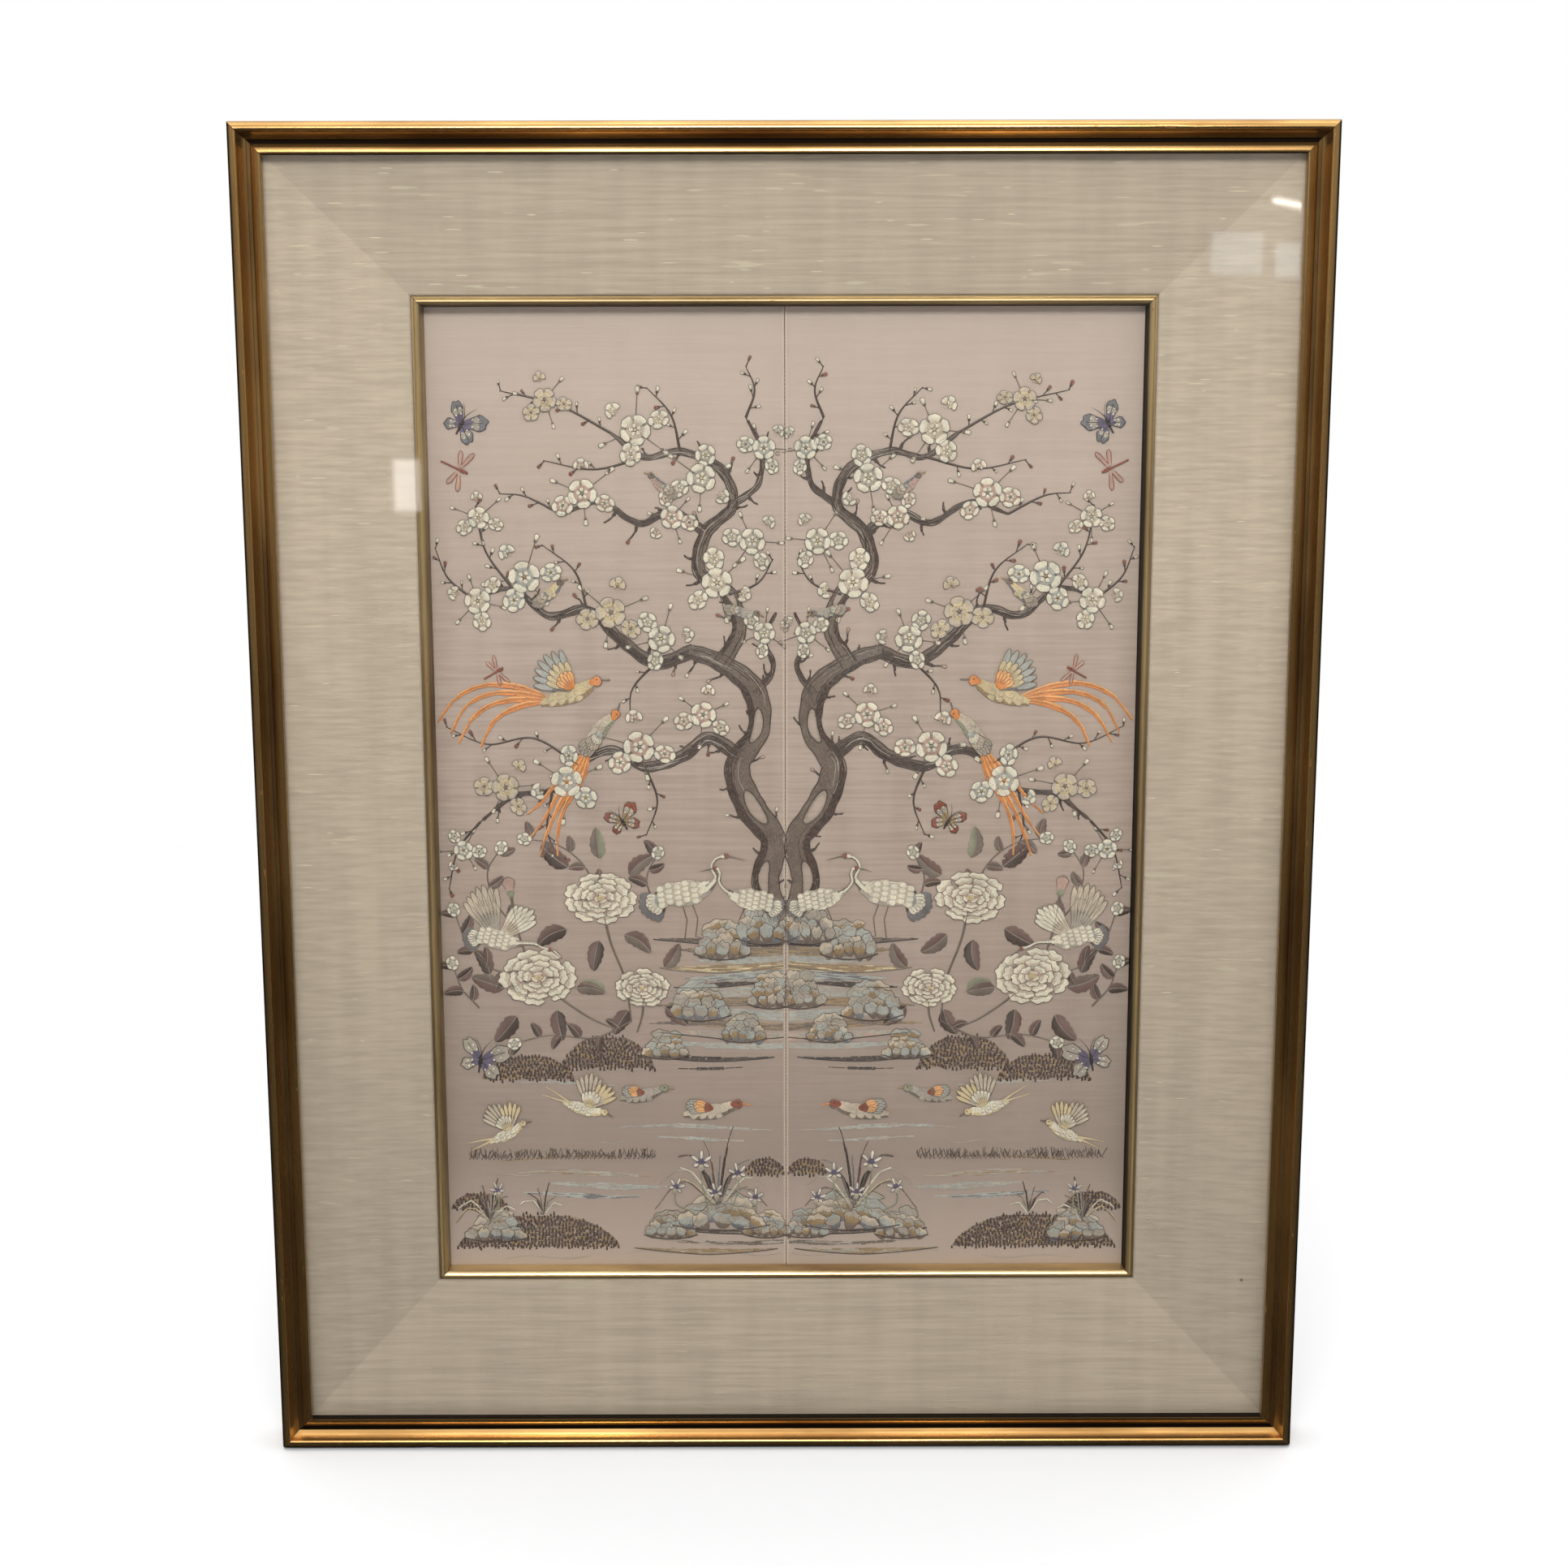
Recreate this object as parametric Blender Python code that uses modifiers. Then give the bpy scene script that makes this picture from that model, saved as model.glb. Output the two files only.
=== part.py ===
"""Framed silk embroidery panel, hung on a wall.

Two silk panels are sewn together down the middle and stretched over a backing board. A cloth
covered liner of four mitred lengths slopes inward to a thin gilt fillet round the silk, and a
sheet of glass and a gilt scoop moulding close the front.

Lengths are in metres. +Z is up and the front faces -Y. The back plane is y = 0, and heights
are measured from it towards the front. The origin is the middle of the back.
"""

import math
from collections import namedtuple

import bmesh
import bpy
from mathutils import Matrix, Vector

# Driving sizes of the whole frame
FRAME_WIDTH = 0.715
FRAME_HEIGHT = 0.908
FRAME_DEPTH = 0.038
FIT_GAP = 0.0003  # between pieces that touch

# The silk that shows inside the fillet, and how far it runs on under fillet and liner
SIGHT_WIDTH = 0.478
SIGHT_HEIGHT = 0.668
SIGHT_RISE = 0.0045  # the silk's middle above the frame's middle
SILK_MARGIN = 0.016
SILK_THICKNESS = 0.001

# Moulding section: plan distances run inward from the outer edge, heights up from the back
RAIL_WIDTH = 0.0205
RABBET_WALL = 0.0140  # wood outside the rabbet
RABBET_CEILING = 0.0260
RIM_WIDTH = 0.0044
RIM_SHOULDER = 0.0364
GROOVE_START, GROOVE_END = 0.0124, 0.0136
GROOVE_HEIGHT = 0.0285
LIP_CREST = Vector((0.0178, 0.0316))
LIP_EDGE_HEIGHT = 0.0292

# Layers inside the rabbet
BOARD_THICKNESS = 0.0035
GLASS_THICKNESS = 0.0020
EDGE_CLEARANCE = 0.0005  # round the glass, the liner and the board
LINER_INNER_HEIGHT = 0.0166
LINER_ROLL = 0.0022  # radius of the rolled edge beside the fillet
FILLET_WIDTH = 0.0066
FILLET_STEP_HEIGHT = 0.0148
FILLET_CREST = Vector((0.0026, 0.0172))
FILLET_SHOULDER = Vector((0.0045, 0.0158))
FILLET_TOE_HEIGHT = 0.0066

SILK_BACK = BOARD_THICKNESS + FIT_GAP
LAYER_FLOOR = SILK_BACK + SILK_THICKNESS + FIT_GAP
GLASS_FRONT = RABBET_CEILING - FIT_GAP
LINER_OUTER_HEIGHT = GLASS_FRONT - GLASS_THICKNESS - FIT_GAP

# How the silk lies: soft ridges (rise above 0) and troughs (below 0) in its surface.
# An upright crease has a fixed x and runs from one z to another; a level one has a fixed z.
Crease = namedtuple("Crease", "run place start end half_width rise")
CREASES = (
    Crease("level", 0.212, 0.030, 0.235, 0.016, 0.0007),
    Crease("level", 0.236, 0.060, 0.239, 0.014, -0.0004),
    Crease("level", -0.120, -0.235, -0.050, 0.030, 0.0005),
    Crease("level", -0.265, 0.020, 0.220, 0.034, 0.0006),
    Crease("upright", -0.135, -0.060, 0.310, 0.024, 0.0006),
    Crease("upright", 0.118, -0.290, 0.120, 0.026, 0.0006),
    Crease("upright", -0.205, -0.310, 0.040, 0.018, 0.0005),
    Crease("upright", 0.196, 0.000, 0.300, 0.020, 0.0005),
    Crease("upright", 0.000, -0.334, 0.334, 0.014, -0.0005),
)
SILK_PUFF = 0.0006  # how far the stretched silk stands forward between its creases
SILK_FADE = 0.022  # the silk lies flat again this near the fillet
SILK_STEP = 0.016  # grid spacing of the silk's surface

Rect = namedtuple("Rect", "left right bottom top")


def inset(rect, amount):
    """The rectangle that lies amount inside rect, or outside it where amount is negative."""
    return Rect(rect.left + amount, rect.right - amount, rect.bottom + amount, rect.top - amount)


FRAME = Rect(-FRAME_WIDTH / 2, FRAME_WIDTH / 2, -FRAME_HEIGHT / 2, FRAME_HEIGHT / 2)
SIGHT = Rect(
    -SIGHT_WIDTH / 2,
    SIGHT_WIDTH / 2,
    SIGHT_RISE - SIGHT_HEIGHT / 2,
    SIGHT_RISE + SIGHT_HEIGHT / 2,
)
LIP = inset(FRAME, RAIL_WIDTH)
RABBET = inset(FRAME, RABBET_WALL)
FILLET_OUTER = inset(SIGHT, -FILLET_WIDTH)
LINER_INNER = inset(FILLET_OUTER, -FIT_GAP)
LINER_OUTER = inset(RABBET, EDGE_CLEARANCE)

Finish = namedtuple("Finish", "color roughness metallic")
FINISHES = {
    "gilt_moulding": Finish((0.42, 0.26, 0.09), 0.38, 0.85),
    "gilt_fillet": Finish((0.55, 0.38, 0.17), 0.35, 0.85),
    "raw_silk": Finish((0.45, 0.38, 0.29), 0.80, 0.0),
    "dusty_silk": Finish((0.42, 0.32, 0.25), 0.60, 0.0),
    "clear_glass": Finish((0.85, 0.90, 0.88), 0.03, 0.0),
    "backing_board": Finish((0.30, 0.22, 0.15), 0.75, 0.0),
}


def material_of(name):
    """The Principled material of one finish, made the first time it is asked for."""
    material = bpy.data.materials.get(name)
    if material is None:
        finish = FINISHES[name]
        material = bpy.data.materials.new(name)
        material.use_nodes = True
        shader = material.node_tree.nodes["Principled BSDF"]
        shader.inputs["Base Color"].default_value = (*finish.color, 1.0)
        shader.inputs["Roughness"].default_value = finish.roughness
        shader.inputs["Metallic"].default_value = finish.metallic
    return material


def add_piece(name, mesh, finish, home, parent):
    """One named piece of the panel, in its collection, with its own material."""
    piece = bpy.data.objects.new(name, mesh)
    material = material_of(finish).copy()
    material.name = f"{name}_{finish}"
    mesh.materials.append(material)
    home.objects.link(piece)
    piece.parent = parent
    return piece


def bow(start, end, rise, steps):
    """Points from start to end along a shallow curve whose middle stands rise to the left."""
    start, end = Vector(start), Vector(end)
    along = end - start
    left = Vector((-along.y, along.x)).normalized()
    shares = [step / steps for step in range(steps + 1)]
    return [start + along * s + left * (4 * rise * s * (1 - s)) for s in shares]


def rail_outline(width):
    """Section of the gilt moulding: rim, scoop, groove and lip over the rabbet."""
    scoop_top = (RIM_WIDTH, RIM_SHOULDER)
    scoop_foot = (GROOVE_START, GROOVE_HEIGHT + 0.0004)
    lip_foot = (GROOVE_END, GROOVE_HEIGHT)
    lip_edge = (width, LIP_EDGE_HEIGHT)
    rim_edge = (0.0, FRAME_DEPTH - 0.0026)
    return [
        Vector((0.0, 0.0)),
        *bow(rim_edge, (0.0019, FRAME_DEPTH), 0.0006, 4),
        *bow((0.0025, FRAME_DEPTH), scoop_top, 0.0003, 4),
        *bow(scoop_top, scoop_foot, -0.0017, 9)[1:],
        Vector((GROOVE_START, GROOVE_HEIGHT)),
        *bow(lip_foot, LIP_CREST, 0.0005, 5),
        *bow(LIP_CREST, lip_edge, 0.0007, 5)[1:],
        Vector((width, RABBET_CEILING)),
        Vector((RABBET_WALL, RABBET_CEILING)),
        Vector((RABBET_WALL, 0.0)),
    ]


def liner_outline(width):
    """Section of a liner length: a sloping face that rolls over beside the fillet."""
    roll_start = (width - LINER_ROLL, LINER_INNER_HEIGHT)
    roll_end = (width, LINER_INNER_HEIGHT - LINER_ROLL)
    return [
        Vector((0.0, LAYER_FLOOR)),
        Vector((0.0, LINER_OUTER_HEIGHT)),
        *bow(roll_start, roll_end, 0.29 * LINER_ROLL, 5),
        Vector((width, LAYER_FLOOR)),
    ]


def fillet_outline(width):
    """Section of the gilt fillet: a low step, a bead, and a steep cove down to the silk."""
    step_end = (0.0008, FILLET_STEP_HEIGHT)
    toe = (width, FILLET_TOE_HEIGHT)
    return [
        Vector((0.0, LAYER_FLOOR)),
        Vector((0.0, FILLET_STEP_HEIGHT)),
        *bow(step_end, FILLET_CREST, 0.0006, 4),
        *bow(FILLET_CREST, FILLET_SHOULDER, 0.0004, 3)[1:],
        *bow(FILLET_SHOULDER, toe, -0.0006, 5)[1:],
        Vector((width, LAYER_FLOOR)),
    ]


def corners(rect):
    """The corners where the bottom, right, top and left side start, seen from the front."""
    return [
        Vector((rect.left, 0.0, rect.bottom)),
        Vector((rect.right, 0.0, rect.bottom)),
        Vector((rect.right, 0.0, rect.top)),
        Vector((rect.left, 0.0, rect.top)),
    ]


SIDES = ("bottom", "right", "top", "left")


def side_widths(outer, inner):
    """Plan width of each side of a border that runs from outer in to inner."""
    return [
        inner.bottom - outer.bottom,
        outer.right - inner.right,
        outer.top - inner.top,
        inner.left - outer.left,
    ]


def mitred_border(kind, outer, inner, outline_of, finish, home, parent):
    """Four lengths with one section, mitred from outer's corners to inner's.

    A length is drawn with X along its outer edge, Y inward and Z towards the front, and
    then turned to its side.
    """
    starts = corners(outer)
    widths = side_widths(outer, inner)
    trim = FIT_GAP / 2 * math.sqrt(2)
    for turn, side in enumerate(SIDES):
        width = widths[turn]
        length = (starts[(turn + 1) % 4] - starts[turn]).length
        setbacks = widths[turn - 1], widths[(turn + 1) % 4]

        build = bmesh.new()
        section = [build.verts.new((0.0, p.x, p.y)) for p in outline_of(width)]
        build.faces.new(section)
        grown = bmesh.ops.extrude_face_region(build, geom=build.faces[:])["geom"]
        far_end = {item for item in grown if isinstance(item, bmesh.types.BMVert)}
        for vert in build.verts:
            share = vert.co.y / width
            if vert in far_end:
                vert.co.x = length - share * setbacks[1] - trim
            else:
                vert.co.x = share * setbacks[0] + trim
        bmesh.ops.recalc_face_normals(build, faces=build.faces[:])

        mesh = bpy.data.meshes.new(f"{kind}_{side}")
        build.to_mesh(mesh)
        build.free()
        mesh.shade_smooth()
        mesh.set_sharp_from_angle(angle=math.radians(32))
        piece = add_piece(f"{kind}_{side}", mesh, finish, home, parent)
        stand = Matrix.Rotation(math.radians(90), 4, "X")
        spin = Matrix.Rotation(math.radians(-90 * turn), 4, "Y")
        piece.location = starts[turn]
        piece.rotation_euler = (spin @ stand).to_euler()


def add_slab(name, rect, back, thickness, finish, home, parent):
    """A flat sheet that fills rect, from the height back towards the front."""
    size = Vector((rect.right - rect.left, thickness, rect.top - rect.bottom))
    build = bmesh.new()
    bmesh.ops.create_cube(build, size=1.0)
    bmesh.ops.scale(build, vec=size, verts=build.verts[:])
    mesh = bpy.data.meshes.new(name)
    build.to_mesh(mesh)
    build.free()
    piece = add_piece(name, mesh, finish, home, parent)
    middle_x = (rect.left + rect.right) / 2
    middle_z = (rect.bottom + rect.top) / 2
    piece.location = (middle_x, -back - thickness / 2, middle_z)


def soft_step(distance, reach):
    """0 at distance 0, rising smoothly to 1 at reach."""
    share = min(max(distance / reach, 0.0), 1.0)
    return share * share * (3 - 2 * share)


def silk_rise(x, z):
    """How far the silk's surface stands forward of flat at a place on it."""
    inside = min(x - SIGHT.left, SIGHT.right - x, z - SIGHT.bottom, SIGHT.top - z)
    rise = SILK_PUFF
    for crease in CREASES:
        across, along = (z, x) if crease.run == "level" else (x, z)
        ends = min(along - crease.start, crease.end - along)
        height = math.exp(-(((across - crease.place) / crease.half_width) ** 2))
        rise += crease.rise * height * soft_step(ends, 3 * crease.half_width)
    return max(rise, 0.0) * soft_step(inside, SILK_FADE)


def add_silk(name, left, right, home, parent):
    """One silk panel: a thin sheet with its creases, turned under at the middle seam."""
    bottom, top = SIGHT.bottom - SILK_MARGIN, SIGHT.top + SILK_MARGIN
    width, height = right - left, top - bottom
    columns, rows = round(width / SILK_STEP), round(height / SILK_STEP)
    build = bmesh.new()
    bmesh.ops.create_grid(build, x_segments=columns, y_segments=rows, size=0.5)
    for vert in build.verts:
        x = left + (vert.co.x + 0.5) * width
        z = bottom + (vert.co.y + 0.5) * height
        vert.co = (x, -SILK_BACK - silk_rise(x, z), z)
    mesh = bpy.data.meshes.new(name)
    build.to_mesh(mesh)
    build.free()
    mesh.shade_smooth()
    piece = add_piece(name, mesh, "dusty_silk", home, parent)
    thick = piece.modifiers.new("Thickness", "SOLIDIFY")
    thick.thickness = SILK_THICKNESS
    thick.offset = 1.0


def build_panel():
    """Clears the scene's objects and models the whole panel."""
    for old in list(bpy.data.objects):
        bpy.data.objects.remove(old, do_unlink=True)
    home = bpy.data.collections.new("framed_silk_embroidery")
    bpy.context.scene.collection.children.link(home)
    parent = bpy.data.objects.new("panel_origin", None)
    home.objects.link(parent)
    own = home, parent

    filling = inset(RABBET, EDGE_CLEARANCE)
    add_slab("backing_board", filling, 0.0, BOARD_THICKNESS, "backing_board", *own)
    seam_half = FIT_GAP / 2
    add_silk("silk_left", SIGHT.left - SILK_MARGIN, -seam_half, *own)
    add_silk("silk_right", seam_half, SIGHT.right + SILK_MARGIN, *own)
    mitred_border("fillet", FILLET_OUTER, SIGHT, fillet_outline, "gilt_fillet", *own)
    mitred_border("liner", LINER_OUTER, LINER_INNER, liner_outline, "raw_silk", *own)
    glass_back = GLASS_FRONT - GLASS_THICKNESS
    add_slab("glass", filling, glass_back, GLASS_THICKNESS, "clear_glass", *own)
    mitred_border("rail", FRAME, LIP, rail_outline, "gilt_moulding", *own)


build_panel()
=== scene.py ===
"""Framed silk embroidery panel, dressed for its looks.

A gilt scoop moulding holds glass over a wide liner covered in raw silk, a thin gilt fillet and
two silk panels sewn together down the middle. The silk carries floss silk embroidery, and each
stitch is modelled. Lengths are in metres, +Z is up and the front faces -Y. Heights are measured
from the back plane towards the front.
"""

import random
from cmath import rect as polar
from collections import namedtuple
from math import atan2, cos, degrees, exp, pi, radians, sin, sqrt, tau

import bpy
import numpy as np
from bpy.props import (
    EnumProperty, FloatProperty, FloatVectorProperty, IntProperty, PointerProperty
)
from bpy.types import NodeSocket, Operator, Panel, PropertyGroup
from mathutils import Matrix, Vector


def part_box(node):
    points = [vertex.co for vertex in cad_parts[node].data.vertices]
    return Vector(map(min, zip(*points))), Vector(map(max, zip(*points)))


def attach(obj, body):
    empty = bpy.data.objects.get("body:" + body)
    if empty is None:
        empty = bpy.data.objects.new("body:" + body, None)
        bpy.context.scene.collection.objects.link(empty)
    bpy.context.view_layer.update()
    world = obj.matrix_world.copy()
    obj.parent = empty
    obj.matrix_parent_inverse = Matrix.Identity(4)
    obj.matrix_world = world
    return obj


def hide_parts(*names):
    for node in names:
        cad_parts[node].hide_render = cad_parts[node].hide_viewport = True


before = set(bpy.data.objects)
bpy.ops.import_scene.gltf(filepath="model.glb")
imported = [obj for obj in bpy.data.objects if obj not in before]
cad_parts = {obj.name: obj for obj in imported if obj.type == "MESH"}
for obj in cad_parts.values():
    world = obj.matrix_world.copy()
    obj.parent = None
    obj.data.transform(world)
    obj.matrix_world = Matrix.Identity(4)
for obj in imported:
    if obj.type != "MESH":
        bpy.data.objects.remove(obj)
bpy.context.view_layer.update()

bl_info = {
    "name": "Framed Silk Embroidery",
    "version": (1, 0, 0),
    "blender": (4, 5, 0),
    "location": "View3D > Sidebar > Silk Panel",
    "description": "Dresses a framed silk embroidery panel with its finishes and stitches",
    "category": "Object",
}

Rect = namedtuple("Rect", "left right bottom top")


def border_rects(kind):
    """The outer and inner rectangle of a border of four CAD lengths."""
    left, right, bottom, top = (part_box(f"{kind}_{side}") for side in Rect._fields)
    outer = Rect(left[0].x, right[1].x, bottom[0].z, top[1].z)
    inner = Rect(left[1].x, right[0].x, bottom[1].z, top[0].z)
    return outer, inner


FRAME, LIP = border_rects("rail")
LINER_OUTER, LINER_INNER = border_rects("liner")
FILLET_OUTER, SIGHT = border_rects("fillet")
FRAME_DEPTH = -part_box("rail_top")[0].y
LINER_OUTER_HEIGHT = -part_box("liner_top")[0].y
LAYER_FLOOR = -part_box("liner_top")[1].y
FILLET_CREST_HEIGHT = -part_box("fillet_top")[0].y
BOARD_FRONT = -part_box("backing_board")[0].y
SILK_EDGE = Rect(
    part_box("silk_left")[0].x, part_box("silk_right")[1].x,
    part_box("silk_left")[0].z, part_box("silk_left")[1].z,
)
FIT_GAP = 0.0003
SILK_THICKNESS = 0.001
SILK_FRONT = BOARD_FRONT + FIT_GAP + SILK_THICKNESS
SEAM_HALF_GAP = FIT_GAP / 2

# Moulding section, inward from the outer edge and up from the back
RABBET_WALL = 0.0140
RABBET_CEILING = 0.0260
BACK_EASE = 0.0006  # the outer back edge is eased by this
RIM_WIDTH = 0.0066
RIM_SHOULDER = 0.0364
RIM_CREST = 0.0052
RIM_ROUND = 0.0052  # how far down the outer side the rim's round reaches
SCOOP_STEP = 0.0004  # from the scoop's foot down to the groove
GROOVE_START, GROOVE_END = 0.0112, 0.0134
GROOVE_HEIGHT = 0.0285
LIP_CREST = Vector((0.0198, 0.0318))
LIP_EDGE_HEIGHT = 0.0300

# Liner and fillet sections
LINER_INNER_HEIGHT = 0.0166
LINER_ROLL = 0.0022
LINER_CLOTH = 0.0007
CLOTH_GAP = 0.0002  # between the cloth and the core under it
FLECK = Vector((0.3215, 0, -0.3355))  # a small dark stain on the cloth
FILLET_STEP = Vector((0.0012, 0.0144))
FILLET_CREST = 0.0036
FILLET_SHOULDER = Vector((0.0060, 0.0146))
FILLET_TOE_HEIGHT = 0.0066
SHARP_ANGLE = radians(38)  # edges keener than this stay sharp

# Soft ridges and troughs in the silk. An upright crease has a fixed x, a level one a fixed z.
Crease = namedtuple("Crease", "run place start end half_width rise")
CREASES = (
    Crease("level", 0.212, 0.030, 0.235, 0.016, 0.0007),
    Crease("level", 0.236, 0.060, 0.239, 0.014, -0.0004),
    Crease("level", -0.120, -0.235, -0.050, 0.030, 0.0005),
    Crease("level", -0.265, 0.020, 0.220, 0.034, 0.0006),
    Crease("upright", -0.135, -0.060, 0.310, 0.024, 0.0006),
    Crease("upright", 0.118, -0.290, 0.120, 0.026, 0.0006),
    Crease("upright", -0.205, -0.310, 0.040, 0.018, 0.0005),
    Crease("upright", 0.196, 0.000, 0.300, 0.020, 0.0005),
    Crease("upright", 0.000, -0.334, 0.334, 0.014, -0.0003),
    Crease("level", 0.196, 0.050, 0.239, 0.006, 0.0004),
    Crease("level", 0.278, -0.239, -0.020, 0.007, 0.0003),
    Crease("level", -0.208, -0.239, 0.120, 0.008, 0.0004),
)
SILK_FADE = 0.022  # the silk lies flat again this near the fillet
PANELS = (("left", -1), ("right", 1))

SIDES = ("bottom", "right", "top", "left")
ALONG = (Vector((1, 0, 0)), Vector((0, 0, 1)), Vector((-1, 0, 0)), Vector((0, 0, -1)))
INWARD = ALONG[1:] + ALONG[:1]


# ---------------------------------------------------------------- colours and settings


def dye(code):
    """The linear colour of a six-digit hex shade."""
    values = [int(code[at : at + 2], 16) / 255 for at in (0, 2, 4)]
    return tuple(v / 12.92 if v <= 0.04045 else ((v + 0.055) / 1.055) ** 2.4 for v in values)


def colour_property(name, description, code):
    """A colour that the user can change, with a hex shade as its default."""
    return FloatVectorProperty(
        name=name, description=description, subtype="COLOR", size=3, min=0, max=1,
        default=dye(code),
    )


def length_property(name, description, default):
    """A length in metres that the user can change."""
    return FloatProperty(
        name=name, description=description, default=default, min=0, unit="LENGTH", precision=5
    )


def angle_property(name, description, default):
    """An angle that the user can change, with its default in degrees."""
    return FloatProperty(
        name=name, description=description, default=radians(default), subtype="ANGLE"
    )


def share_property(name, description, default):
    """A share from 0 to 1 that the user can change."""
    return FloatProperty(
        name=name, description=description, default=default, min=0, max=1, subtype="FACTOR"
    )


class GiltSettings(PropertyGroup):
    """Finish of the moulding and the fillet."""

    gold: colour_property("Gold", "Leaf on the moulding", "cfa568")
    pale_gold: colour_property("Pale gold", "Leaf on the fillet", "ebd09c")
    toning: colour_property("Toning", "Brown wash that dulls the leaf", "67401c")
    # painted shade: this near-black also paints the shade in the gilt's groove, scoop and edges
    grime: colour_property("Grime", "Dark dust and wash in the hollows", "1c130b")
    bole: colour_property("Bole", "Clay under the leaf where it is rubbed through", "7a4424")
    wood: colour_property("Wood", "Bare wood at the back and in the rabbet", "a5855e")
    rubbed: share_property("Rubbed", "How far the crests are rubbed through", 0.35)


class LinerSettings(PropertyGroup):
    """The raw silk cloth over the liner."""

    cloth: colour_property("Cloth", "Raw silk over the liner", "ae9f8c")
    slub: colour_property("Slub", "Thick places in the raw silk", "bfb39b")
    slubs: IntProperty(
        name="Slubs", description="Thick places on each liner length", default=48, min=0
    )


class SilkSettings(PropertyGroup):
    """The ground silk of the two embroidered panels."""

    ground: colour_property("Ground", "Dusty silk of both panels", "a59589")
    puff: length_property("Puff", "How far the silk stands forward between creases", 0.0006)
    seam_thread: colour_property("Seam thread", "Thread that joins the panels", "cdbfa8")


class ThreadColours(PropertyGroup):
    """Floss silk shades of the embroidery."""

    cream: colour_property("Cream", "Blossom and peony edges", "cdc4af")
    ivory: colour_property("Ivory", "Inner petals", "b5a692")
    straw: colour_property("Straw", "Flower centres and yellow petals", "bfac86")
    rose: colour_property("Rose", "Petal shading", "ab8e7f")
    sage: colour_property("Sage", "Green leaves", "84826c")
    ash: colour_property("Ash", "Pale grey shading and veins", "9c9284")
    mist: colour_property("Mist", "Blue-grey rocks and water", "9c9b92")
    slate: colour_property("Slate", "Dark blue-grey", "6d6b6c")
    umber: colour_property("Umber", "Trunks", "6f6156")
    bark: colour_property("Bark", "Dark edges of trunks", "50423a")
    ink: colour_property("Ink", "Darkest outlines", "3a312c")
    mauve: colour_property("Mauve", "Brown-mauve leaves", "6d564e")
    rust: colour_property("Rust", "Red-brown buds", "854a38")
    orange: colour_property("Orange", "Long tail feathers", "cb8148")
    amber: colour_property("Amber", "Light edge of the tail feathers", "dba066")
    plum: colour_property("Plum", "Butterflies and irises", "62586a")
    ochre: colour_property("Ochre", "Earth banks", "8f7757")


THREADS = tuple(ThreadColours.__annotations__)


class StitchSettings(PropertyGroup):
    """How the floss is laid."""

    pitch: length_property("Pitch", "From one satin stitch to the next", 0.00060)
    width: length_property("Width", "Width of one laid strand of floss", 0.00072)
    lift: length_property("Lift", "How far a strand stands off the silk", 0.00026)
    threads: PointerProperty(type=ThreadColours)


class StageSettings(PropertyGroup):
    """Floor, lights and camera."""

    floor: colour_property("Floor", "Plain pale floor", "d6d8dc")
    floor_behind: length_property("Floor behind", "Floor behind the panel", 2.15)
    lens: FloatProperty(
        name="Lens", description="Focal length", default=50.0, min=10, unit="CAMERA"
    )
    distance: length_property("Distance", "Camera in front of the back plane", 1.4795)
    eye_height: length_property("Eye height", "Camera above the panel's middle", 0.2684)
    pitch: angle_property("Pitch", "How far the camera looks down", 9.645)
    roll: angle_property("Roll", "How far the camera leans", -0.11)


class PanelSettings(PropertyGroup):
    """Everything about the framed panel that a user may change."""

    gilt: PointerProperty(type=GiltSettings)
    liner: PointerProperty(type=LinerSettings)
    silk: PointerProperty(type=SilkSettings)
    stitch: PointerProperty(type=StitchSettings)
    stage: PointerProperty(type=StageSettings)


def settings():
    """The scene's settings for the framed panel."""
    return bpy.context.scene.framed_silk


# ---------------------------------------------------------------- shader building


def feed(socket, value):
    """Links a value into a socket, or sets it there."""
    if isinstance(value, NodeSocket):
        socket.id_data.links.new(value, socket)
    elif value is not None:
        socket.default_value = value


def add_node(tree, kind, inputs=None, **options):
    """A shader node with its options set and its inputs set or linked."""
    node = tree.nodes.new(f"ShaderNode{kind}")
    for name, value in options.items():
        setattr(node, name, value)
    for name, value in (inputs or {}).items():
        feed(node.inputs[name], value)
    return node


def tree_of(*values):
    """The tree of the first socket among some values."""
    return next(v.id_data for v in values if isinstance(v, NodeSocket))


def maths(operation, *values):
    """The result of a Math node."""
    inputs = dict(enumerate(values))
    return add_node(tree_of(*values), "Math", inputs, operation=operation).outputs[0]


def total(*values):
    """The sum of two values."""
    return maths("ADD", *values)


def product(*values):
    """The product of two values."""
    return maths("MULTIPLY", *values)


def scaled(value, factor, offset):
    """value times factor, plus offset."""
    return maths("MULTIPLY_ADD", value, factor, offset)


def clouds(vector, scale, stretch=(1, 1, 1), detail=3.0, roughness=0.5):
    """Noise from 0 to 1, with scale spots a metre and each axis stretched."""
    tree = vector.id_data
    spread = [scale / s for s in stretch]
    place = add_node(tree, "VectorMath", {0: vector, 1: spread}, operation="MULTIPLY")
    inputs = {"Vector": place.outputs[0], "Scale": 1.0, "Detail": detail, "Roughness": roughness}
    return add_node(tree, "TexNoise", inputs).outputs["Fac"]


def remap(value, low, high, to_low=0.0, to_high=1.0):
    """value moved from the range low to high into another, and held inside it."""
    inputs = {0: value, 1: low, 2: high, 3: to_low, 4: to_high}
    return add_node(value.id_data, "MapRange", inputs, clamp=True).outputs[0]


def axis(vector, name):
    """One of a vector's values, X, Y or Z."""
    return add_node(vector.id_data, "SeparateXYZ", {0: vector}).outputs[name]


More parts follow.
